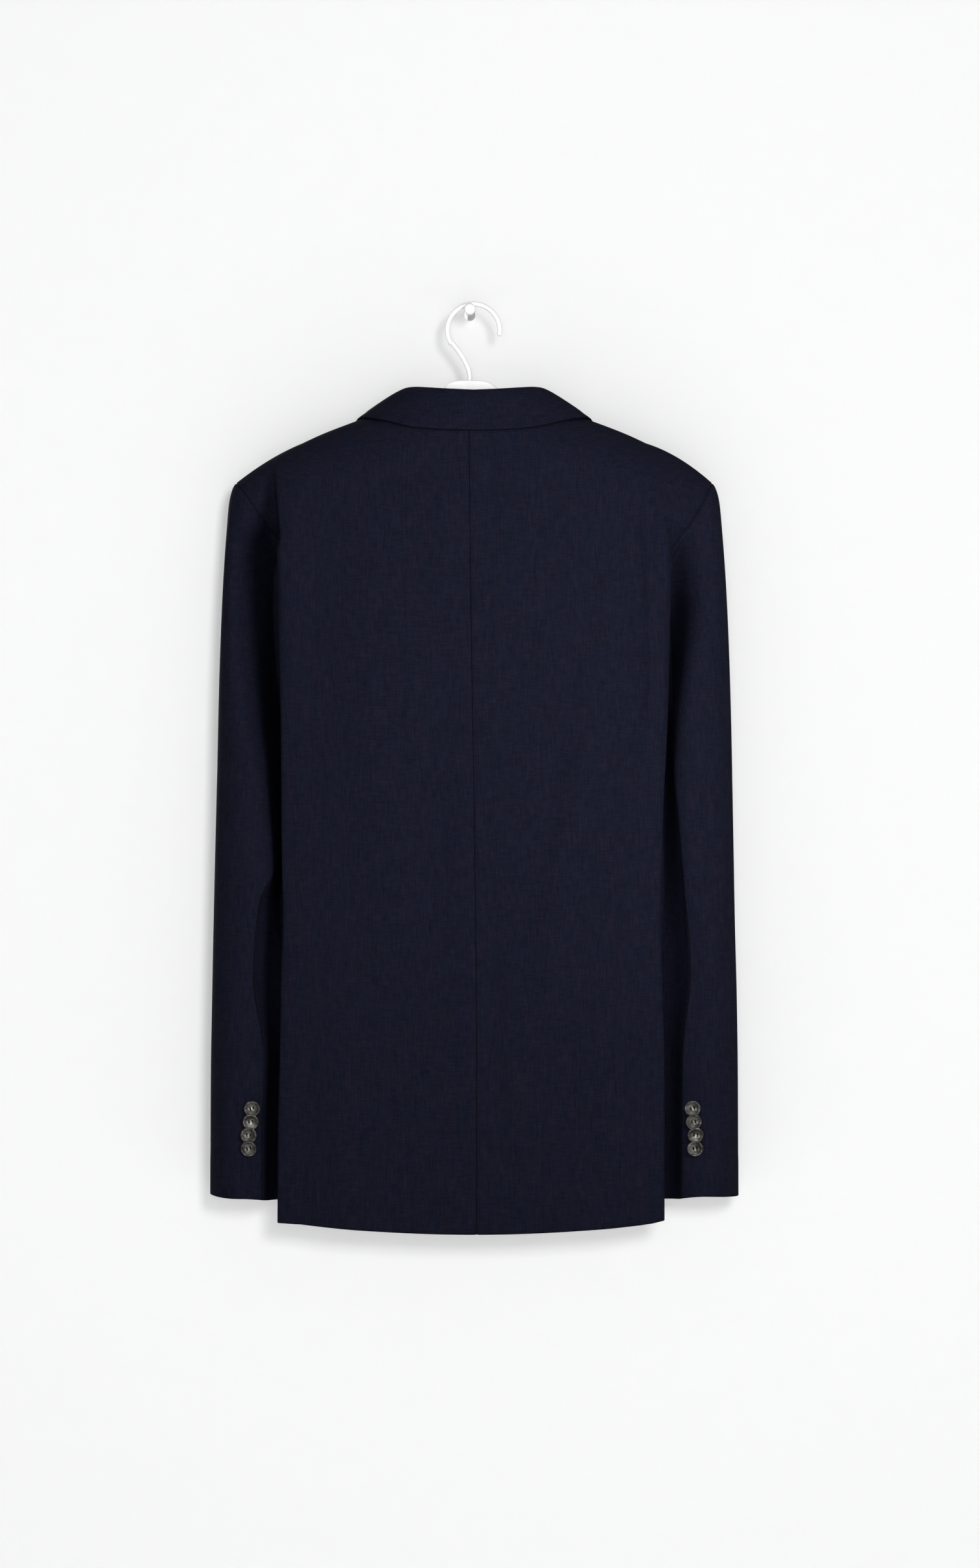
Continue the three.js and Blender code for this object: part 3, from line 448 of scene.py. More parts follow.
def sleeve_section(side, angle, z):
    outer, inner = own(SLEEVE, side, z), read(SLEEVE, 3, z)
    a = np.radians(angle)
    x = (outer + inner) / 2 + (outer - inner) / 2 * np.cos(a)
    depth = read(SLEEVE, 4, z) * (1 + SLEEVE_EGG * np.cos(a))
    return pts(side * x, SLEEVE_Y - depth * np.sin(a), z)


def sleeve_z(t):
    return lerp(CUFF_Z, CROOK_Z, np.minimum(t / CROOK_SHARE, 1))


def sleeve_point(side, angle, t):
    straight = sleeve_section(side, angle, sleeve_z(t))
    start = sleeve_section(side, angle, np.full(np.shape(angle), CROOK_Z))
    low = np.minimum(angle, 360 - angle) / 180
    turn = np.radians(angle)
    apart = lerp(HEAD_GAP, UNDERARM_GAP, low)
    end = armhole_point(side, angle) + pts(
        side * apart * (0.4 + 0.6 * np.abs(np.cos(turn))),
        1.6 * apart * np.sin(turn) * smoothstep(low, 0, 0.2), 0,
    )
    lean = LEAN * np.sqrt(np.abs(np.cos(turn / 2)))
    into = pts(-side * lean, 0, np.sqrt(1 - lean * lean))
    a = start + pts(-side * 2.0, 0, (end[..., 2] - start[..., 2]) * 0.45)
    b = end - into * lerp(HEAD_PULL, UNDERARM_PULL, low)[..., None]
    curved = cubic(start, a, b, end, np.clip((t - CROOK_SHARE) / (1 - CROOK_SHARE), 0, 1))
    return np.where((t <= CROOK_SHARE)[..., None], straight, curved)


def elbow_angle(side, t):
    z = sleeve_z(t)
    return sleeve_angle(side, own(ELBOW_SEAM, side, z), z)


def hollow(side, x, z, sewn):
    """How far the cloth lies back at x and z. On the back (not sewn to it) it starts at the fold."""
    out = side * x - read(FOLD_EDGE[side], 1, z)
    depth = read(HOLLOW[side], 1, z) * hump(np.maximum(out, 0), read(HOLLOW[side], 2, z))
    return depth if sewn else depth * smoothstep(out, *FOLD_START)


def cleft(side, z):
    """Share of the hollow that the left back takes, beside the fold and above the armhole."""
    return smoothstep(z, *CLEFT_END) * (side < 0)


# ---------- lapels and collar, mm
ROLL_AT, ROLL_GRIP = 0.45, 8.0      # the collar's roll: its share of u, and how wide it turns
SHOULDER_ROW = 5                    # of the collar's table: its edge lies on the front from here
RIDGE_LEAN = np.array([0.42, 0, 0.9])


def lay_on(side, face, x, z, lift):
    """A point this far off the flat of a back or front."""
    dx = flat_y(x + 0.5, z, face, side) - flat_y(x - 0.5, z, face, side)
    up = np.minimum(z + 0.5, ridge_z(x))
    dz = flat_y(x, up, face, side) - flat_y(x, up - 1, face, side)
    n = unit(pts(-dx * face, face, -dz * face))
    n = np.where((z >= ridge_z(x) - 1e-6)[..., None], RIDGE_LEAN, n)
    p = pts(x, flat_y(x, z, face, side), z) + n * lift
    p[..., 0] *= side
    return p


def lapel_point(side, u, v):
    row = v * (len(LAPEL) - 1)
    roll_z, out_x, out_z = (read(LAPEL, c, row) for c in (1, 2, 3))
    roll_x = read(FRONT_EDGE, 1, roll_z)
    if side > 0:
        roll_x = np.maximum(roll_x, 1.5 - roll_x)
    x = lerp(roll_x, np.maximum(out_x, roll_x + 2), u)
    return lay_on(side, 1, x, lerp(roll_z, out_z, u), LAPEL_LIFT + CLOTH)


def collar_point(u, s):
    """From the neck seam (u = 0) over the roll to the loose edge (1)."""
    side = np.where(s < 0.5, -1.0, 1.0)
    k = np.abs(s - 0.5) * 2 * (len(COLLAR) - 1)
    neck, crown = (pts(side * read(COLLAR, c, k), read(COLLAR, c + 1, k), read(COLLAR, c + 2, k))
                   for c in (1, 4))
    turn = np.radians(read(COLLAR, 7, k))
    across = pts(side * np.cos(turn), np.sin(turn), 0) * ROLL_GRIP
    fall_x = read(COLLAR, 8, k)
    fall_z = ridge_z(fall_x) - read(COLLAR, 9, k)
    back, right, left = (lay_on(*at, fall_x, fall_z, LIFT + CLOTH)
                         for at in ((1, -1), (1, 1), (-1, 1)))
    front = np.where((side > 0)[..., None], right, left * np.array([-1, 1, 1]))
    edge = np.where((k < SHOULDER_ROW)[..., None], back, front)
    edge[..., 0] *= side
    stand = cubic(neck, lerp(neck, crown, 0.5), crown - across, crown, np.clip(u / ROLL_AT, 0, 1))
    lower = lerp(edge, crown, 0.4) + across * 0.25 + np.array([0, 0, 3.0])
    fall = cubic(crown, crown + across, lower, edge, np.clip((u - ROLL_AT) / (1 - ROLL_AT), 0, 1))
    return np.where((u < ROLL_AT)[..., None], stand, fall)


# ---------- meshes
LIP_STEPS = 4                       # strips round a wall's edge
RIDGE_REACH = 2                     # this near to HANG_Y a wall's top edge is cut upright
MM = 0.001


def in_scene(name, data):
    made = bpy.data.objects.new(name, data)
    bpy.context.scene.collection.objects.link(made)
    return made


def add_mesh(name, points, faces, finishes, finish_of=None):
    """A smooth mesh object from points in mm in the blazer's frame."""
    mesh = bpy.data.meshes.new(name)
    mesh.from_pydata(((points + np.array([GARMENT_X, 0, 0])) * MM).tolist(), [], faces)
    mesh.polygons.foreach_set("use_smooth", [True] * len(mesh.polygons))
    for finish in finishes:
        mesh.materials.append(finish)
    if finish_of is not None:
        mesh.polygons.foreach_set("material_index", finish_of)
    mesh.update()
    return in_scene(name, mesh)


def stands_for(piece, cad_node):
    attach(piece, "root")
    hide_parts(cad_node)


def normals(grid, out):
    return unit(np.cross(np.gradient(grid, axis=1), np.gradient(grid, axis=0))) * out


def bridge(low, high):
    """Quads between two rings of point numbers."""
    return np.stack([low, high, np.roll(high, -1), np.roll(low, -1)], axis=-1)


def wall(name, grid, out, lips, square_top):
    """A closed cloth wall. grid is its outer face, rows by columns. lips says how far each edge
    rounds over, as a share of half the thickness: first column, last, first row, last."""
    n = normals(grid, out)
    if square_top:
        top = n[-1]
        near = np.abs(grid[-1][:, 1] - HANG_Y) < RIDGE_REACH
        top[near] = unit(top[near] * np.array([1, 0, 1]))
    outer = grid.reshape(-1, 3)
    inner = (grid - n * CLOTH).reshape(-1, 3)
    count = len(outer)
    at = np.arange(count).reshape(grid.shape[:2])
    quads = np.stack([at[:-1, :-1], at[:-1, 1:], at[1:, 1:], at[1:, :-1]], axis=-1).reshape(-1, 4)
    if out < 0:
        quads = quads[:, ::-1]
    faces = [quads, quads[:, ::-1] + count]
    lip, away = np.ones((*at.shape, 1)), np.zeros(grid.shape)
    edges = ((np.s_[:, 0], np.s_[:, 1]), (np.s_[:, -1], np.s_[:, -2]), (0, 1), (-1, -2))
    for share, (edge, beside) in zip(lips, edges):
        away[edge] += unit(grid[edge] - grid[beside])
        lip[edge] = np.minimum(lip[edge], share)
    rim = np.concatenate([at[0, :-1], at[:-1, -1], at[-1, :0:-1], at[:0:-1, 0]])
    away, lip, rim_n = (field.reshape(count, -1)[rim] for field in (unit(away), lip, n))
    middle = outer[rim] - rim_n * CLOTH / 2
    points, layers = [outer, inner], [rim]
    for k in range(1, LIP_STEPS):
        angle = math.pi * k / LIP_STEPS
        points.append(middle + CLOTH / 2 * (math.cos(angle) * rim_n + math.sin(angle) * lip * away))
        layers.append(2 * count + (k - 1) * len(rim) + np.arange(len(rim)))
    layers.append(rim + count)
    for low, high in zip(layers, layers[1:]):
        strip = bridge(low, high)
        faces.append(strip if out > 0 else strip[:, ::-1])
    # the rim strips take the third finish: the cloth darkened as painted shade along the pieces' edges
    # and seams
    finish_of = np.concatenate([np.full(len(f), min(k, 2)) for k, f in enumerate(faces)])
    return add_mesh(name, np.concatenate(points), np.concatenate(faces).tolist(), CLOTHS, finish_of)


# ---------- materials
def material(name, specular=0.5):
    mat = bpy.data.materials.new(name)
    mat.use_nodes = True
    shader = mat.node_tree.nodes["Principled BSDF"]
    shader.inputs["Specular IOR Level"].default_value = specular
    return mat, mat.node_tree, shader


def node(tree, kind, links=(), **settings):
    """A shader node; settings are its properties, links are (input, source socket or value)."""
    made = tree.nodes.new(kind)
    for key, value in settings.items():
        setattr(made, key, value)
    for name, source in links:
        if hasattr(source, "is_output"):
            tree.links.new(source, made.inputs[name])
        else:
            made.inputs[name].default_value = source
    return made


def object_place(tree):
    return node(tree, "ShaderNodeTexCoord").outputs["Object"]


def stretched(tree, scale, **moved):
    """Object coordinates, scaled along each axis, and turned or moved."""
    links = [("Vector", object_place(tree)), ("Scale", scale), *moved.items()]
    return node(tree, "ShaderNodeMapping", links).outputs["Vector"]


def noise(tree, scale, size=1.0, detail=2.0, rough=0.5, distortion=0.0, **moved):
    return node(tree, "ShaderNodeTexNoise", [
        ("Vector", stretched(tree, scale, **moved)), ("Scale", size), ("Detail", detail),
        ("Roughness", rough), ("Distortion", distortion),
    ]).outputs["Fac"]


def ramp(tree, fac, stops):
    """A colour ramp; stops are (place, colour or grey)."""
    made = node(tree, "ShaderNodeValToRGB", [("Fac", fac)])
    elements = made.color_ramp.elements
    while len(elements) < len(stops):
        elements.new(0.5)
    for element, (place, colour) in zip(elements, stops):
        element.position = place
        element.color = (*(colour if isinstance(colour, tuple) else (colour,) * 3), 1.0)
    return made.outputs["Color"]


def darkened(tree, colour, light):
    """A colour times another."""
    links = [(0, 1.0), (6, colour), (7, light)]
    return node(tree, "ShaderNodeMix", links, data_type="RGBA", blend_type="MULTIPLY").outputs[2]


def scaled(tree, source, factor):
    return node(tree, "ShaderNodeMath", [(0, source), (1, factor)], operation="MULTIPLY").outputs[0]


def added(tree, a, b):
    return node(tree, "ShaderNodeMath", [(0, a), (1, b)], operation="ADD").outputs[0]


def finished(tree, shader, colour, roughness, height, strength, step=0.0002):
    """Gives the shader its colour, its roughness, and a bump of this height and strength."""
    links = [("Height", height), ("Strength", strength), ("Distance", step)]
    bump = node(tree, "ShaderNodeBump", links)
    for name, source in (
        ("Base Color", colour), ("Roughness", roughness), ("Normal", bump.outputs["Normal"]),
    ):
        tree.links.new(source, shader.inputs[name])


# Melange navy worsted: blue and plum fibres in a fine twill, in linear colours.
NAVY_BLUE = (0.0048, 0.0068, 0.0166)
NAVY_BASE = (0.0064, 0.0074, 0.0160)
NAVY_PLUM = (0.0092, 0.0076, 0.0158)
EDGE_SHADE = 0.35                   # painted shade: the rim strips round every piece are darker than the cloth's face, drawing dark lines at seams and edges


def wool_material(name, shade=1.0):
    mat, tree, shader = material(name, 0.05)
    blotch = noise(tree, (1, 1, 0.45), 110.0, 3.0, 0.6)
    fleck = noise(tree, (1, 1, 1), 420.0, 3.0, 0.7)
    warp = noise(tree, (1100, 1100, 70), rough=0.6)
    weft = noise(tree, (110, 110, 1100), rough=0.6)
    threads = added(tree, scaled(tree, warp, 0.55), scaled(tree, weft, 0.45))
    mottle = added(tree, scaled(tree, fleck, 0.30), scaled(tree, threads, 0.44))
    blend = added(tree, scaled(tree, blotch, 0.36), mottle)
    blue, base, plum = (tuple(c * shade for c in navy) for navy in (NAVY_BLUE, NAVY_BASE, NAVY_PLUM))
    colour = ramp(tree, blend, [(0.42, blue), (0.55, base), (0.70, plum)])
    twill = node(tree, "ShaderNodeTexWave", [
        ("Vector", stretched(tree, (1, 1, 1))), ("Scale", 300.0), ("Distortion", 1.5),
        ("Detail", 1.0), ("Detail Scale", 1.5),
    ], wave_type="BANDS", bands_direction="DIAGONAL").outputs["Fac"]
    finished(
        tree, shader, darkened(tree, colour, ramp(tree, threads, [(0.38, 0.72), (0.62, 1.32)])),
        ramp(tree, fleck, [(0.3, 0.80), (0.7, 0.92)]),
        added(tree, scaled(tree, twill, 0.35), threads), 0.25, 0.00025,
    )
    return mat


def lining_material():
    """Smooth dark twill lining on the inside of the walls."""
    mat, tree, shader = material("lining", 0.35)
    weave = noise(tree, (700, 700, 120))
    clouds = noise(tree, (1, 1, 1), 40.0)
    finished(
        tree, shader,
        ramp(tree, scaled(tree, added(tree, weave, clouds), 0.5),
             [(0.35, (0.0050, 0.0062, 0.0140)), (0.65, (0.0095, 0.0112, 0.0230))]),
        ramp(tree, weave, [(0.3, 0.36), (0.7, 0.48)]), weave, 0.2,
    )
    return mat


def horn_material(name, seed, radius, glint_centre):
    """Polished grey-brown horn, clouded, with a painted highlight round a point near its middle and
    painted shade in a ring outside it; each button is its own.
    """
    mat, tree, shader = material(name, 0.8)
    shader.inputs["Metallic"].default_value = 0.7
    cloud = noise(
        tree, (170, 170, 300), detail=3.0, distortion=0.5, Rotation=(0.0, 0.5 + seed, 0.0),
        Location=(seed * 0.31, seed * 0.17, seed * 0.23),
    )
    links = [(0, object_place(tree)), (1, glint_centre)]
    away = node(tree, "ShaderNodeVectorMath", links, operation="DISTANCE").outputs["Value"]
    clouded = ramp(tree, cloud, [
        (0.34, (0.16, 0.148, 0.122)), (0.48, (0.33, 0.315, 0.280)),
        (0.60, (0.48, 0.468, 0.430)), (0.74, (0.62, 0.608, 0.570)),
    ])
    # painted highlight and shade: pale round the glint centre, dark in a ring further out, a little
    # lighter again at the rim
    painted_glint = ramp(tree, scaled(tree, away, 0.7 / (radius * MM)),
                  [(0.14, 1.0), (0.42, 0.44), (0.62, 0.15), (0.80, 0.34)])
    scratch = noise(tree, (900, 900, 300), detail=1.0)
    finished(tree, shader, darkened(tree, clouded, painted_glint),
             ramp(tree, scratch, [(0.3, 0.26), (0.7, 0.36)]), cloud, 0.02)
    return mat


def thread_material():
    mat, tree, shader = material("button_thread", 0.1)
    twist = noise(tree, (3000, 3000, 900))
    colour = ramp(tree, twist, [(0.3, (0.0015, 0.0015, 0.002)), (0.7, (0.004, 0.004, 0.005))])
    finished(tree, shader, colour, ramp(tree, twist, [(0.3, 0.6), (0.7, 0.8)]), twist, 0.4)
    return mat


def white_material(name, rough, shade=1.0):
    """White coating: an even satin with faint orange peel."""
    mat, tree, shader = material(name)
    peel = noise(tree, (1, 1, 1), 900.0)
    low, high = (tuple(c * shade for c in colour)
                 for colour in ((0.64, 0.635, 0.63), (0.70, 0.695, 0.69)))
    finished(tree, shader, ramp(tree, noise(tree, (1, 1, 1), 60.0), [(0.3, low), (0.7, high)]),
             ramp(tree, peel, [(0.3, rough - 0.05), (0.7, rough + 0.06)]), peel, 0.06)
    return mat


# the cloth's face, its inside, and its rim strips darkened as painted shade along every edge and seam
CLOTHS = (wool_material("wool_navy"), lining_material(),
          wool_material("wool_painted_edge_shade", EDGE_SHADE))
THREAD = thread_material()
WIRE_WHITE = white_material("wire_white", 0.34, 0.86)
HANGER_WHITE = white_material("hanger_white", 0.45)


# ---------- cloth pieces
FREE, SEWN = 1.0, 0.3               # how far an edge's lip rounds over
FINE_STEPS = 4000
# mm of cloth to a unit of u on the flat and in the turn, of v at the shoulder, of a side's u
FLAT_SPAN, TURN_SPAN, TOP_SPAN, SIDE_SPAN = 240, 100, 300, 50
LAST_U, LAST_V = 1 - SEAM / 2 / TURN_SPAN, 1 - SEAM / 2 / TOP_SPAN
CENTRE_GAP = 0.7                    # left open between the backs
SEAM_DIP, SEAM_REACH = 0.7, 2.0     # the cloth dips this much beside a pressed seam
HEM_DEEP, HEM_STEP = 35.0, 0.2      # the turned-up hem, and the slight step that it makes
BACK_DRAPE, BACK_PRESS = 2.8, 1.8   # strength of the back's folds and of its pressed marks
CORNER_RISE = {-1: 0.8, 1: 3.4}     # the hem turns up at the side seams


def spaced(count, places=()):
    """count + 1 places from 0 to 1, closer together round each (place, width, density)."""
    fine = np.linspace(0, 1, FINE_STEPS + 1)
    density = np.ones_like(fine)
    for place, width, extra in places:
        density += extra * hump(fine - place, width)
    total = np.concatenate([[0], np.cumsum((density[1:] + density[:-1]) / 2)])
    return np.interp(np.linspace(0, total[-1], count + 1), total, fine)


def grid_at(surface, us, vs):
    uu, vv = np.meshgrid(us, vs)
    return surface(uu, vv), uu, vv


def puffed(grid, out, height):
    """The grid moved out along its normals."""
    return grid + normals(grid, out) * height[..., None]


def cloth(cad_node, grid, out, lips, square_top=False):
    """A cloth piece, put in the place of its CAD part."""
    piece = wall(f"{cad_node}_cloth", grid, out, lips, square_top)
    stands_for(piece, cad_node)


def seam_dip(distance):
    return -SEAM_DIP * hump(distance, SEAM_REACH)


def hem_step(height):
    """The step at the top of the turned-up hem, this high above the edge."""
    return HEM_STEP * smoothstep(height, HEM_DEEP + 1.5, HEM_DEEP - 2)


def held_flat(uu, vv):
    """Folds die away at the outer seam and at the shoulder."""
    return smoothstep(1 - uu, 0, 0.05) * smoothstep(1 - vv, 0, 0.06)


def make_back(side):
    us = spaced(118, [(0, 0.02, 3.0), (0.6, 0.02, 2.0), (1, 0.03, 1.5), (0.86, 0.05, 0.8)])
    vs = spaced(176, [(0.04, 0.012, 2.5), (1, 0.02, 1.5)])
    us = lerp(CENTRE_GAP / 2 / FLAT_SPAN, LAST_U, us)
    grid, uu, vv = grid_at(lambda u, v: panel_point(side, -1, u, v), us, vs * LAST_V)
    x, z = grid[..., 0], grid[..., 2]
    height = BACK_DRAPE * relief(BACK_FOLDS, z, x) + BACK_PRESS * relief(BACK_MARKS, z, x)
    height += hem_step(z - hem_z(x)) * smoothstep(np.abs(x), 180, 165)
    height *= held_flat(uu, vv)
    height += seam_dip(np.abs(x - centre_back_x(vv))) * smoothstep(vv, 1, 0.97)
    along_armhole = smoothstep(z, -245, -225) * smoothstep(z, -162, -172)
    height += seam_dip((1 - uu) * TURN_SPAN) * along_armhole
    grid = puffed(grid, side, height)
    corner = smoothstep(np.abs(grid[..., 0]), 150, 179) ** 2
    grid[..., 2] += CORNER_RISE[side] * corner * smoothstep(z - hem_z(x), 22, 0)
    grid[..., 1] += hollow(side, grid[..., 0], z, False) * cleft(side, z)
    cloth(f"back_{SIDES[side]}", grid, side, (0.9, 0.6, FREE, SEWN),
          square_top=True)


def dart(x, z, side):
    """The front dart, sewn flat from under the chest to the pocket line."""
    line = 92 + 0.02 * (z + 480)
    return -0.5 * hump(side * x - line, 1.6) * smoothstep(z, -640, -560) * smoothstep(z, -380, -420)


def make_front(side):
    us = spaced(104, [(0, 0.01, 2.0), (0.45, 0.02, 1.5), (1, 0.03, 1.5)])
    vs = spaced(176, [(0, 0.02, 3.0), (0.04, 0.02, 1.5), (1, 0.02, 1.5)])
    grid, uu, vv = grid_at(lambda u, v: panel_point(side, 1, u, v), us * LAST_U, vs * LAST_V)
    x, z = grid[..., 0], grid[..., 2]
    height = relief(FRONT_FOLDS, z, x) + dart(x, z, side)
    height += hem_step(z - front_hem_z(x)) * smoothstep(side * x, 60, 80)
    height *= held_flat(uu, vv)
    # the edge is pressed thin along its stitching
    height -= 0.35 * hump(uu * FLAT_SPAN - 6, 1.4) * smoothstep(z, -440, -500)
    cloth(f"front_{SIDES[side]}", puffed(grid, -side, height), -side, (FREE, SEWN, FREE, SEWN),
          square_top=True)


def make_side(side):
    edge = SEAM / 2 / SIDE_SPAN
    us = lerp(edge, 1 - edge, spaced(34, [(0, 0.06, 1.0), (1, 0.06, 1.0)]))
    grid, _, _ = grid_at(lambda u, v: side_point(side, u, v), us, spaced(110))
    cloth(f"side_{SIDES[side]}", grid, side, (SEWN, SEWN, FREE, SEWN))


SLEEVE_GAP = 0.25                   # degrees left at each sleeve seam
ALLOWANCE = (0.7, 3.0, 8.0, 13.0)   # the sleeve goes on this far under the body's edge
ALLOWANCE_AIM = (120.0, -54.0, -190.0)
TUCK = 0.9                          # how far the under sleeve folds in
CUFF_TRIM = {-1: (1.8, 0.0, 3.2), 1: (0.0, 2.2, 3.4)}


def sleeve_relief(side, angle, z, t):
    turn = np.mod(angle, 360)
    down = 1 - t
    height = relief(SLEEVE_FOLDS[side], z, turn) + relief(SLEEVE_FRONT_FOLDS, z, turn)
    # the sleeve head stands a little proud of the armhole seam where it was eased in
    crown = hump(np.mod(angle + 180, 360) - 180, 70)
    height += crown * hump(down - 0.07, 0.045)
    height += 0.22 * np.sin(np.radians(angle * 9)) * crown * hump(down - 0.05, 0.03)
    height += 0.18 * smoothstep(z - CUFF_Z, 38, 34)
    return height * smoothstep(down, 0, 0.03) - 0.9 * hump(down, 0.007)


def tucked(grid, angle):
    """The under sleeve folds in behind the elbow seam instead of following the round section."""
    start = grid[:, :1]
    inner_at = np.argmin(np.abs(angle - 180), axis=1)
    inner = grid[np.arange(len(grid)), inner_at][:, None]
    share = np.clip((angle - angle[:, :1]) / (180 - angle[:, :1]), 0, 1)
    knee = lerp(start, inner, 0.06) + np.array([0, 0.85, 0]) * (inner[..., 1:2] - start[..., 1:2])
    amount = TUCK * smoothstep(grid[..., 2], -330, -420) * smoothstep(1 - share, 0, 0.12)
    return lerp(grid, quadratic(start, knee, inner, share), amount[..., None])


def cuff_trim(side, angle):
    """How far the cuff's edge is raised: at its outer end, in the middle, and down at its inner."""
    outer, middle, inner = CUFF_TRIM[side]
    near = np.clip(angle, 0, 180)
    return (
        outer * smoothstep(angle, -40, 0) * smoothstep(near, 80, 10)
        + middle * np.sin(np.radians(near))
        - inner * smoothstep(near, 80, 140) * smoothstep(angle, 200, 165)
    )


def make_sleeves(side):
    def top_angle(u, t):
        return lerp(INSEAM_ANGLE - 360 + SLEEVE_GAP, elbow_angle(side, t) - SLEEVE_GAP, u)

    def under_angle(u, t):
        return lerp(elbow_angle(side, t) + SLEEVE_GAP, INSEAM_ANGLE - SLEEVE_GAP, u)

    rows = spaced(176, [(1, 0.05, 1.2), (0, 0.02, 1.0)])
    for part, angle_of, columns, girth, flat, area in (
        ("top", top_angle, 96, 200, (0.19, 0.68), 0.111),
        ("under", under_angle, 52, 100, (0.10, 0.56), 0.046),
    ):
        us = spaced(columns, [(0, 0.02, 2.0), (1, 0.02, 2.0)])
        grid, uu, tt = grid_at(
            lambda u, t: sleeve_point(side, np.mod(angle_of(u, t), 360), t), us, rows)
        angle = angle_of(uu, tt)
        if part == "under":
            grid = tucked(grid, angle)
        height = sleeve_relief(side, angle, grid[..., 2], tt)
        height += 0.7 * seam_dip(np.minimum(uu, 1 - uu) * girth)
        grid = puffed(grid, -side, height)
        grid[..., 2] += cuff_trim(side, angle) * smoothstep(tt, 0.08, 0)
        # beside the back's fold the sleeve lies back, but never through its own front
        x, y, z = (grid[..., c] for c in range(3))
        at_seam = hollow(side, x, z, False) * cleft(side, z)
        sink = lerp(at_seam, hollow(side, x, z, True), smoothstep(1 - tt, 0, 0.035))
        behind_back = smoothstep(np.sin(np.radians(angle)), 0.05, 0.5)
        grid[..., 1] = np.minimum(y + behind_back * sink, np.maximum(y, 2 * SLEEVE_Y - y - 8))
        into = unit(np.array(ALLOWANCE_AIM) * np.array([side, 1, 1]) - grid[-1])
        grid = np.concatenate([grid, [grid[-1] + into * step for step in ALLOWANCE]])
        cloth(f"{part}_sleeve_{SIDES[side]}", grid, -side, (SEWN, SEWN, FREE, SEWN))


ROLL_STEPS = 8
LAPEL_START = {-1: 0.0, 1: 0.1}     # the right lapel starts under the left front


def make_lapel(side):
    """The lapel and the soft roll that turns it back from the front's edge."""
    us = spaced(44, [(1, 0.05, 1.5), (0, 0.05, 1.0)])
    vs = lerp(LAPEL_START[side], 1, spaced(150))
    grid, uu, vv = grid_at(lambda u, v: lapel_point(side, u, v), us, vs)
    height = relief(FRONT_FOLDS, grid[..., 2], grid[..., 0]) * smoothstep(1 - vv, 0, 0.06)
    # it stands off most beside the roll, and is pressed thin along its edge
    height += 2.4 * smoothstep(vv, 0.06, 0.3) * smoothstep(vv, 1, 0.75) * hump(uu - 0.16, 0.2)
    width = np.linalg.norm(grid[:, -1] - grid[:, 0], axis=-1)[:, None]
    height -= 0.3 * hump((1 - uu) * width - 5, 1.3)
    grid = puffed(grid, -side, height)
    n = normals(grid, -side)[:, 0]
    inward = unit(grid[:, 0] - grid[:, 1])
    radius = (CLOTH + LAPEL_LIFT) / 2 + CLOTH / 2
    middle = grid[:, 0] - n * radius
    angles = np.linspace(math.pi * 0.94, 0, ROLL_STEPS, endpoint=False)
    roll = [middle + radius * (math.cos(a) * n + math.sin(a) * inward) for a in angles]
    name = SIDES[side]
    cloth(f"lapel_{name}", np.concatenate([np.stack(roll, axis=1), grid], axis=1), -side,
          (0.5, FREE, FREE, FREE))


FALL_DEPTH = 78                     # of the collar, from its neck seam over the roll
COLLAR_BENDS = ((-70, 0.5, 16), (58, 0.5, 14), (34, 0.35, 6), (-24, -0.25, 14))  # x, height, width


def make_collar():
    us = spaced(64, [(0.45, 0.08, 1.2), (1, 0.03, 1.5)])
    vs = spaced(260, [(0, 0.01, 2.0), (1, 0.01, 2.0)])
    grid, uu, _ = grid_at(collar_point, us, vs)
    # a pressed edge, and a few soft bends in the fall
    height = -0.3 * hump((1 - uu) * FALL_DEPTH - 4.5, 1.2)
    for x, rise, width in COLLAR_BENDS:
        height += smoothstep(uu, 0.5, 0.9) * rise * hump(grid[..., 0] - x, width)
    cloth("collar", puffed(grid, 1, height), 1, (SEWN, FREE, FREE, FREE))


for side in SIDES:
    make_back(side)
    make_front(side)
    make_side(side)
    make_sleeves(side)
    make_lapel(side)
make_collar()


# ---------- hard parts
CUFF_HOLES, FRONT_HOLES = (1.35, 0.70), (1.7, 0.95)     # their place from the middle, and radius
HOLE_SPREAD = 1.12                  # the holes are this much further apart across the button
BAR_AROUND, BAR_ALONG = 10, 14
BUTTON_SPINS = (0.36, 0.10, -0.08, 0.22)
# where each button's painted highlight is centred, as shares of its radius across and up from its
# middle
GLINT_CENTRES = ((-0.22, 0.02), (-0.10, 0.14), (0.02, -0.20), (-0.24, 0.06), (0.04, 0.12))
BUTTON_FACE = [  # share of the radius, height as a share of half the thickness
    (0, -0.10), (0.20, -0.07), (0.35, 0.02), (0.50, 0.22), (0.65, 0.50), (0.78, 0.76),
    (0.83, 0.83), (0.875, 0.79), (0.93, 1.0), (0.975, 0.86), (1.0, 0.35),
]
BUTTON_EDGE = ((1.0, 0.05), (0.985, -0.35), (0.93, -0.75), (0.84, -0.97), (0.72, -1.0))
FACE_RINGS = ((0.0, 0.5, 26), (0.5, 0.8, 8), (0.8, 1.0, 10))    # from, to, how many
DOME_RINGS = 4
HUMP_SIDE_X, HUMP_SIDE_Z = (29, 79), (-78, -98)         # the hump's slope down to the arms
ARM_DEPTH, TIP_DROP = (28, 17), (8, 17)
HOOK_TIP, HOOK_TAIL = math.radians(-8), math.radians(212)
ARCH_Z = PEG_GROOVE_R + SEAM + WIRE_R - math.sqrt(ARCH_R ** 2 - ARCH_X ** 2)
OBJECT = np.array([-GARMENT_X, 0, 0])   # the hook and peg are placed in the object's own frame


def around(count):
    return np.linspace(0, 2 * math.pi, count, endpoint=False)


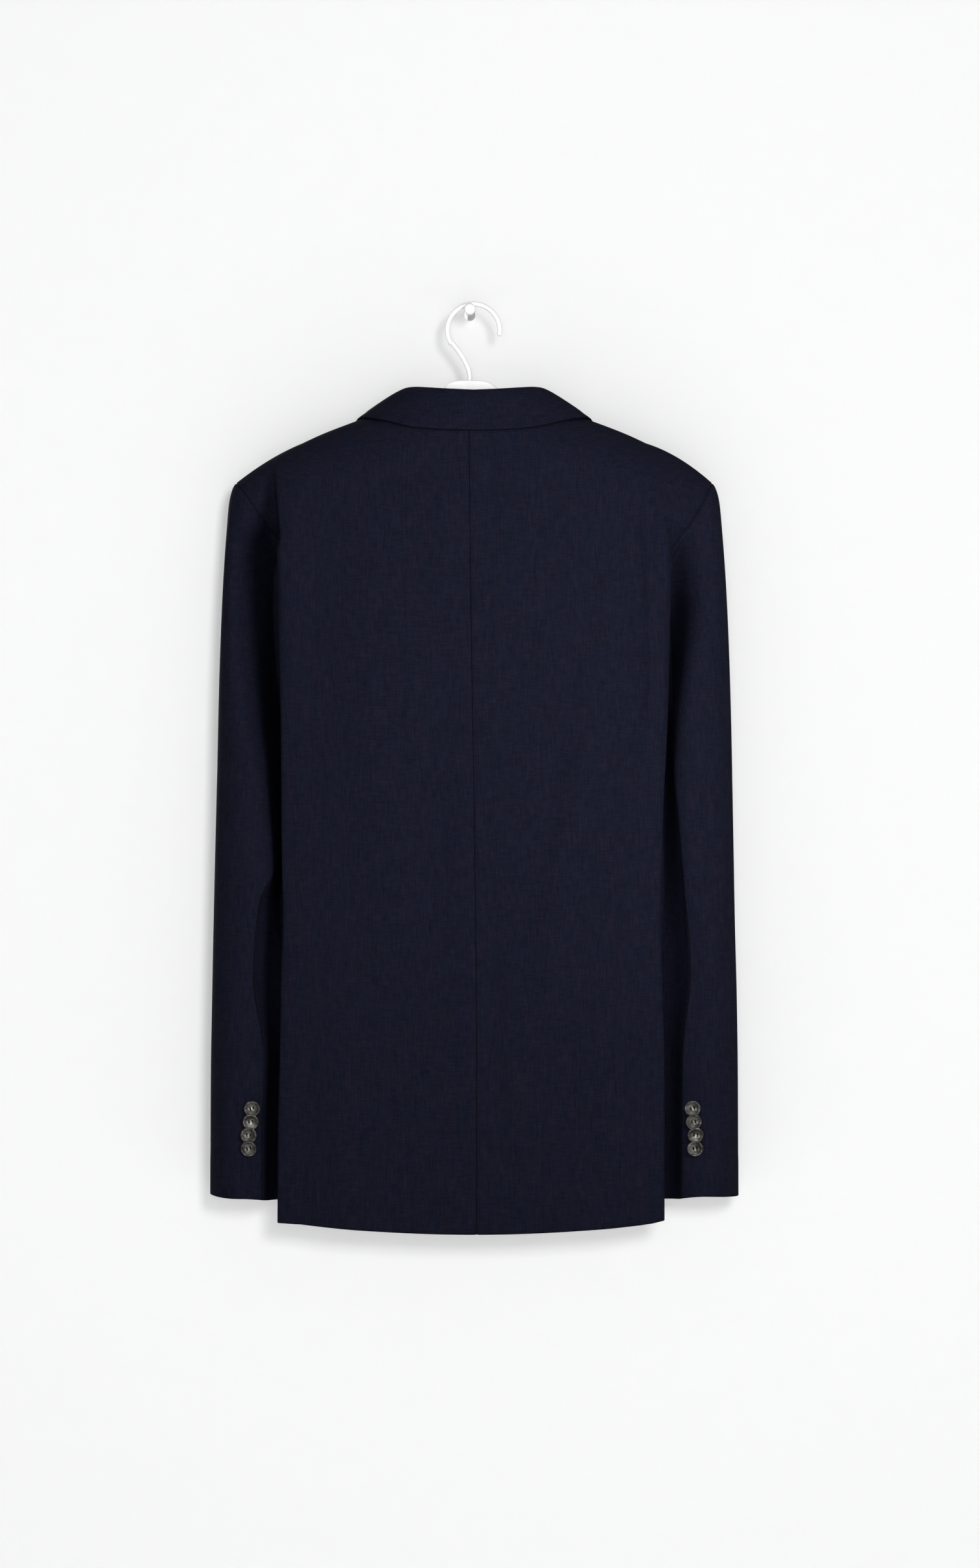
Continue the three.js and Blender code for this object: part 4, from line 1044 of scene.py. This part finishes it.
def skin(rings, middles=()):
    """A closed skin over a row of rings of points, with a flat face or a fan at each end."""
    points = np.concatenate(rings)
    at = np.arange(len(points)).reshape(len(rings), -1)
    faces = [quad for low, high in zip(at, at[1:]) for quad in bridge(low, high).tolist()]
    if not len(middles):
        return points, faces + [at[0].tolist(), at[-1].tolist()]
    for middle, ring in enumerate((at[0], at[-1]), len(points)):
        faces += [[middle, a, b] for a, b in np.stack([ring, np.roll(ring, -1)], -1).tolist()]
    return np.concatenate([points, middles]), faces


def rounded(rows, reach, steps, closed=False):
    """An outline with short bends for corners. An open one keeps its ends, and bends evenly."""
    rows = [np.array(r, dtype=float) for r in rows]
    out = []
    for k, b in enumerate(rows):
        a, c = rows[k - 1], rows[(k + 1) % len(rows)]
        near = [min(reach, np.linalg.norm(end - b) * 0.45) for end in (a, c)]
        if not closed:
            near = [min(near)] * 2
            if k in (0, len(rows) - 1):
                out.append(b)
                continue
        p, q = b + unit(a - b) * near[0], b + unit(c - b) * near[1]
        out += [quadratic(p, b, q, i / steps) for i in range(steps + 1)]
    return out


def placed(points, at, turn=0.0, spin=0.0):
    """Points turned about Y by spin, then about X by turn, then moved."""
    c, s = math.cos(spin), math.sin(spin)
    x, y, z = (points @ np.array([[c, 0, -s], [0, 1, 0], [s, 0, c]])).T
    c, s = math.cos(turn), math.sin(turn)
    return pts(x, y * c - z * s, y * s + z * c) + np.array(at)


def hard(name, cad_node, slot, points, faces, finishes, finish_of=None):
    """A hard piece, its faces turned outwards."""
    piece = add_mesh(name, points, faces, finishes, finish_of)
    made = bmesh.new()
    made.from_mesh(piece.data)
    bmesh.ops.recalc_face_normals(made, faces=made.faces)
    made.to_mesh(piece.data)
    made.free()
    stands_for(piece, cad_node)


def button_mesh(radius, thickness, hole_at, hole_r):
    """A dished sew-through button, face towards +Y: four holes and two thread bars."""
    h = thickness / 2
    turn = around(72)

    def face_y(share):
        return np.interp(share, *np.array(BUTTON_FACE).T) * h

    def ring(share, y):
        return pts(share * radius * np.cos(turn), y, share * radius * np.sin(turn))

    shares = np.concatenate([np.linspace(a, b, n + 1)[1:] for a, b, n in FACE_RINGS])
    face = np.stack([ring(share, face_y(share)) for share in shares])
    columns = (-hole_at * HOLE_SPREAD, hole_at * HOLE_SPREAD)
    for x in columns:
        for z in (-hole_at, hole_at):
            away = np.hypot(face[..., 0] - x, face[..., 2] - z)
            sunk = smoothstep(away, hole_r * 1.15, hole_r * 0.75)
            face[..., 1] = np.minimum(face[..., 1], lerp(face[..., 1], -h * 0.55, sunk))
    rings = [*face, *(ring(share, y * h) for share, y in BUTTON_EDGE)]
    points, faces = skin(rings, [(0, face_y(0), 0), (0, -h, 0)])
    kinds = [0] * len(faces)
    turn = around(BAR_AROUND)
    for x in columns:               # a bar of thread rises from hole to hole
        bar = []
        for t in np.arange(BAR_ALONG + 1) / BAR_ALONG:
            arch = abs(math.sin(math.pi * t)) ** 0.45
            y = -h * 0.45 + (h * 0.45 + face_y(0.2) + hole_r * 0.75) * arch
            bar.append(pts(x + hole_r * 0.85 * np.cos(turn), y + hole_r * 0.5 * np.sin(turn),
                           lerp(-hole_at, hole_at, t)))
        bar, quads = skin(bar)
        faces += [[i + len(points) for i in quad] for quad in quads]
        kinds += [1] * len(quads)
        points = np.concatenate([points, bar])
    return points, faces, kinds


def make_button(cad_node, radius, thickness, holes, at, seed, turn=0.0, spin=0.0):
    points, faces, kinds = button_mesh(radius, thickness, *holes)
    dx, dz = GLINT_CENTRES[seed % len(GLINT_CENTRES)]
    glint_centre = tuple(MM * v for v in (at[0] + GARMENT_X + dx * radius, at[1], at[2] + dz * radius))
    horn = horn_material(f"{cad_node}_horn", seed, radius, glint_centre)
    hard(f"{cad_node}_horn", cad_node, "horn", placed(points, at, turn, spin), faces,
         (horn, THREAD), kinds)


def make_buttons():
    stand = BUTTON_R * math.sin(BUTTON_TILT) + BUTTON_T / 2 * math.cos(BUTTON_TILT) + BUTTON_STAND
    for side, name in SIDES.items():
        for k, (left, right, z) in enumerate(CUFF_BUTTONS):
            x = left if side < 0 else right
            y = float(sleeve_section(side, sleeve_angle(side, x, z), z)[1]) - stand
            make_button(
                f"cuff_button_{name}_{k + 1}", BUTTON_R, BUTTON_T, CUFF_HOLES, (side * x, y, z),
                k + (5 if side > 0 else 1), math.pi + BUTTON_TILT, BUTTON_SPINS[k],
            )
    for k, z in enumerate(FRONT_BUTTONS_Z):
        y = float(panel_y(0, z, 1)) + LIFT + FRONT_BUTTON_T / 2
        make_button(f"front_button_{k + 1}", FRONT_BUTTON_R, FRONT_BUTTON_T, FRONT_HOLES,
                    (0, y, z), 11 + k)


def make_hook():
    """A round wire along its path in the hanger's plane, with domed ends."""
    arc = [(ARCH_X + ARCH_R * math.cos(a), HANG_Y, ARCH_Z + ARCH_R * math.sin(a))
           for a in np.linspace(HOOK_TIP, HOOK_TAIL, 64)]
    end = np.array(arc[-1])
    out = np.array([math.sin(HOOK_TAIL), 0, -math.cos(HOOK_TAIL)])
    foot = np.array([0, HANG_Y, HUMP_TOP_Z + SEAM + 3])
    above = foot + np.array([0, 0, 15])
    bend = cubic(end, end + out * 11, above, foot, np.linspace(0, 1, 25)[1:])
    path = np.concatenate([arc, bend, [(0, HANG_Y, HUMP_TOP_Z + SEAM)]])
    along = unit(np.gradient(path, axis=0))
    aside = pts(along[:, 2], 0, -along[:, 0])
    stations = [(p, a, WIRE_R) for p, a in zip(path, aside)]
    for k in range(1, DOME_RINGS + 1):
        dome = math.pi / 2 * k / (DOME_RINGS + 1)
        past, r = WIRE_R * math.sin(dome), WIRE_R * math.cos(dome)
        stations.insert(0, (path[0] - along[0] * past, aside[0], r))
        stations.append((path[-1] + along[-1] * past, aside[-1], r))
    turn = around(28)[:, None]
    points, faces = skin([p + r * (np.cos(turn) * a + np.sin(turn) * np.array([0, 1.0, 0]))
                          for p, a, r in stations])
    hard("hook_wire", "hook", "white_coat", points + OBJECT, faces, (WIRE_WHITE,))


def make_peg():
    groove = -HANG_Y
    profile = rounded([
        (5, 0), (5, 1), (4.6, groove - 8), (PEG_GROOVE_R, groove - 3.2), (PEG_GROOVE_R, groove + 3),
        (4.6, groove + 3.6), (5.5, groove + 5), (5.5, PEG_LENGTH - 2), (4.2, PEG_LENGTH),
        (0.6, PEG_LENGTH),
    ], 0.8, 4)
    turn = around(96)
    rings = [pts(r * np.cos(turn), y, r * np.sin(turn)) for r, y in profile]
    points, faces = skin(rings, [(0, 0, 0), (0, PEG_LENGTH, 0)])
    points = placed(points, OBJECT, math.pi)
    hard("peg_pin", "peg", "white_coat", points, faces, (WIRE_WHITE,))


def arm_top(x):
    return float(ridge_z(x)) - CLOTH * 1.12 - HANGER_GAP


def hanger_outline():
    """The hanger's outline from the front, clockwise from the middle of its hump."""
    right = [(x, float(np.interp(x, HUMP_SIDE_X, HUMP_SIDE_Z))) for x in (29, 45, 62)]
    right += [(x, arm_top(x)) for x in (80, 110, 142, 160, HANGER_TIP_X)]
    tip = right[-1][1]
    right += [(HANGER_TIP_X + 3, tip - TIP_DROP[0]), (HANGER_TIP_X - 4, tip - TIP_DROP[1])]
    right += [(x, arm_top(x) - lerp(*ARM_DEPTH, x / HANGER_TIP_X))
              for x in (160, 142, 110, 80, 45, 18)]
    hump_half = [(10, HUMP_TOP_Z), (19, HUMP_TOP_Z - 2), (24, HUMP_TOP_Z - 6)]
    outline = [(x - GARMENT_X, z) for x, z in hump_half] + right
    outline += [(-x, z) for x, z in reversed(right)]
    return outline + [(-GARMENT_X - x, z) for x, z in reversed(hump_half)]


def make_hanger():
    loop = np.array(rounded(hanger_outline(), 7.0, 6, closed=True))
    along = unit(np.roll(loop, -1, axis=0) - np.roll(loop, 1, axis=0))
    out = np.stack([-along[:, 1], along[:, 0]], axis=-1)
    bends = [math.pi / 2 * k / 4 for k in range(5)]
    rows = [(HANGER_EDGE * (1 - math.cos(a)) - HANGER_T / 2, HANGER_EDGE * (1 - math.sin(a)))
            for a in bends]
    rows += [(-y, inset) for y, inset in reversed(rows)]
    rings = []
    for y, inset in rows:
        x, z = (loop - out * inset).T
        rings.append(pts(x, HANG_Y + y, z))
    hard("hanger_body", "hanger", "white_coat", *skin(rings), (HANGER_WHITE,))


make_buttons()
make_hook()
make_peg()
make_hanger()


# ---------- stage, lights, camera: metres
WALL_WIDE, WALL_TOP, WALL_Y, FLOOR_Z, FLOOR_OUT = 2.6, 1.9, 0.0006, -1.32, 6.0
MIDDLE = (0.0042, -0.05, -0.44)
COAT_AIM, LEFT_AIM, RIGHT_AIM = (0.03, -0.1, -0.36), (-0.05, -0.1, -0.36), (0.15, -0.1, -0.36)
LENS, SENSOR_WIDTH, CAMERA_PLACE, VIEW_END = 109.47, 36.0, (0.0189, -4.5, -0.4421), 50.0
WORLD_COLOUR, WORLD_LIGHT, WORLD_SEEN = (0.93, 0.94, 0.96, 1.0), 0.14, 0.9


def stage_material(name, grey, one_way=False):
    mat, tree, shader = material(name, 0.0)
    grain = noise(tree, (1, 1, 1), 30.0)
    tree.links.new(ramp(tree, grain, [(0.3, grey), (0.7, grey * 1.006)]), shader.inputs["Base Color"])
    shader.inputs["Roughness"].default_value = 0.95
    if one_way:                     # seen from behind, the wall is not there
        either = node(tree, "ShaderNodeMixShader", [
            (0, node(tree, "ShaderNodeNewGeometry").outputs["Backfacing"]),
            (1, shader.outputs[0]), (2, node(tree, "ShaderNodeBsdfTransparent").outputs[0]),
        ])
        tree.links.new(either.outputs[0], tree.nodes["Material Output"].inputs["Surface"])
    return mat


def plane(name, corners, finish):
    mesh = bpy.data.meshes.new(name)
    mesh.from_pydata(corners, [], [(0, 1, 2, 3)])
    mesh.materials.append(finish)
    made = in_scene(name, mesh)
    made.visible_glossy = False     # the buttons don't mirror the pale stage
    made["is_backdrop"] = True
    return made


def group(name, pieces):
    made = bpy.data.collections.new(name)
    for piece in pieces:
        made.objects.link(piece)
    return made


def area_light(name, place, size, power, lit, aim=MIDDLE, blockers=None):
    """A light of its own for one group. blockers is the group that casts its shadows."""
    data = bpy.data.lights.new(name, "AREA")
    data.shape = "RECTANGLE"
    data.size, data.size_y = size
    data.energy = power
    made = in_scene(name, data)
    made.location = place
    made.rotation_euler = (Vector(aim) - Vector(place)).to_track_quat("-Z", "Y").to_euler()
    made.light_linking.receiver_collection = lit
    if blockers:
        made.light_linking.blocker_collection = blockers


stage = (
    plane("backdrop_wall", [(-WALL_WIDE, WALL_Y, FLOOR_Z), (WALL_WIDE, WALL_Y, FLOOR_Z),
                            (WALL_WIDE, WALL_Y, WALL_TOP), (-WALL_WIDE, WALL_Y, WALL_TOP)],
          stage_material("wall_paint", 0.90, one_way=True)),
    plane("backdrop_floor", [(x * FLOOR_OUT, y * FLOOR_OUT, FLOOR_Z)
                             for x, y in ((-1, -1), (1, -1), (1, 1), (-1, 1))],
          stage_material("floor_paint", 0.86)),
)

# The wall and the object have their own lights, so each keeps its own softness of shadow.
object_only = group("object_only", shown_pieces())
stage_only = group("stage_only", stage)
white_coated = ("hook_wire", "peg_pin", "hanger_body")
pale_things = group("pale_things", [*stage, *(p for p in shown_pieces() if p.name in white_coated)])
buttons_only = group("buttons_only", [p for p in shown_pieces() if "button" in p.name])

area_light("wall_key", (0.62, -4.4, 0.26), (0.6, 0.6), 52.0, pale_things)
area_light("wall_fill", (0.25, -4.9, -0.35), (1.4, 1.4), 44.0, pale_things)
# the object casts no shadow of this one
area_light("wall_even", (-0.2, -5.2, -0.4), (2.0, 2.0), 95.0, pale_things, blockers=stage_only)
area_light("key", (0.38, -0.84, -0.33), (0.34, 0.34), 5.5, object_only, COAT_AIM)
area_light("side_left", (-0.9, -1.4, -0.3), (0.6, 0.9), 5.6, object_only, LEFT_AIM)
area_light("side_right", (1.1, -1.1, 0.1), (0.6, 0.6), 1.5, object_only, RIGHT_AIM)
area_light("above", (-0.15, -0.7, 0.5), (0.5, 0.3), 1.7, object_only, (-0.06, -0.05, -0.15))
area_light("fill_front", (0.3, -4.2, -0.4), (1.4, 1.4), 7.5, object_only)
# it lights the fronts, and the wall doesn't stop it
area_light("behind", (-1.0, 2.8, 0.2), (1.6, 1.6), 28.0, object_only, blockers=object_only)
for name, x, aim_x in (("shine_left", -0.34, -0.2), ("shine_right", 0.20, 0.2)):
    area_light(name, (x, -1.5, -1.50), (0.25, 0.25), 6.5, buttons_only, (aim_x, -0.1, -0.76))

world = bpy.data.worlds.new("studio")
world.use_nodes = True
sky = world.node_tree
level = node(sky, "ShaderNodeMapRange", [
    ("Value", node(sky, "ShaderNodeLightPath").outputs["Is Camera Ray"]),
    ("To Min", WORLD_LIGHT), ("To Max", WORLD_SEEN),
])
sky.nodes["Background"].inputs["Color"].default_value = WORLD_COLOUR
sky.links.new(level.outputs["Result"], sky.nodes["Background"].inputs["Strength"])
bpy.context.scene.world = world
bpy.context.scene.view_settings.view_transform = "Standard"

camera_data = bpy.data.cameras.new("camera")
camera_data.lens, camera_data.sensor_width, camera_data.clip_end = LENS, SENSOR_WIDTH, VIEW_END
camera = in_scene("camera", camera_data)
camera.location = CAMERA_PLACE
camera.rotation_euler = (math.radians(90), 0, 0)
bpy.context.scene.camera = camera
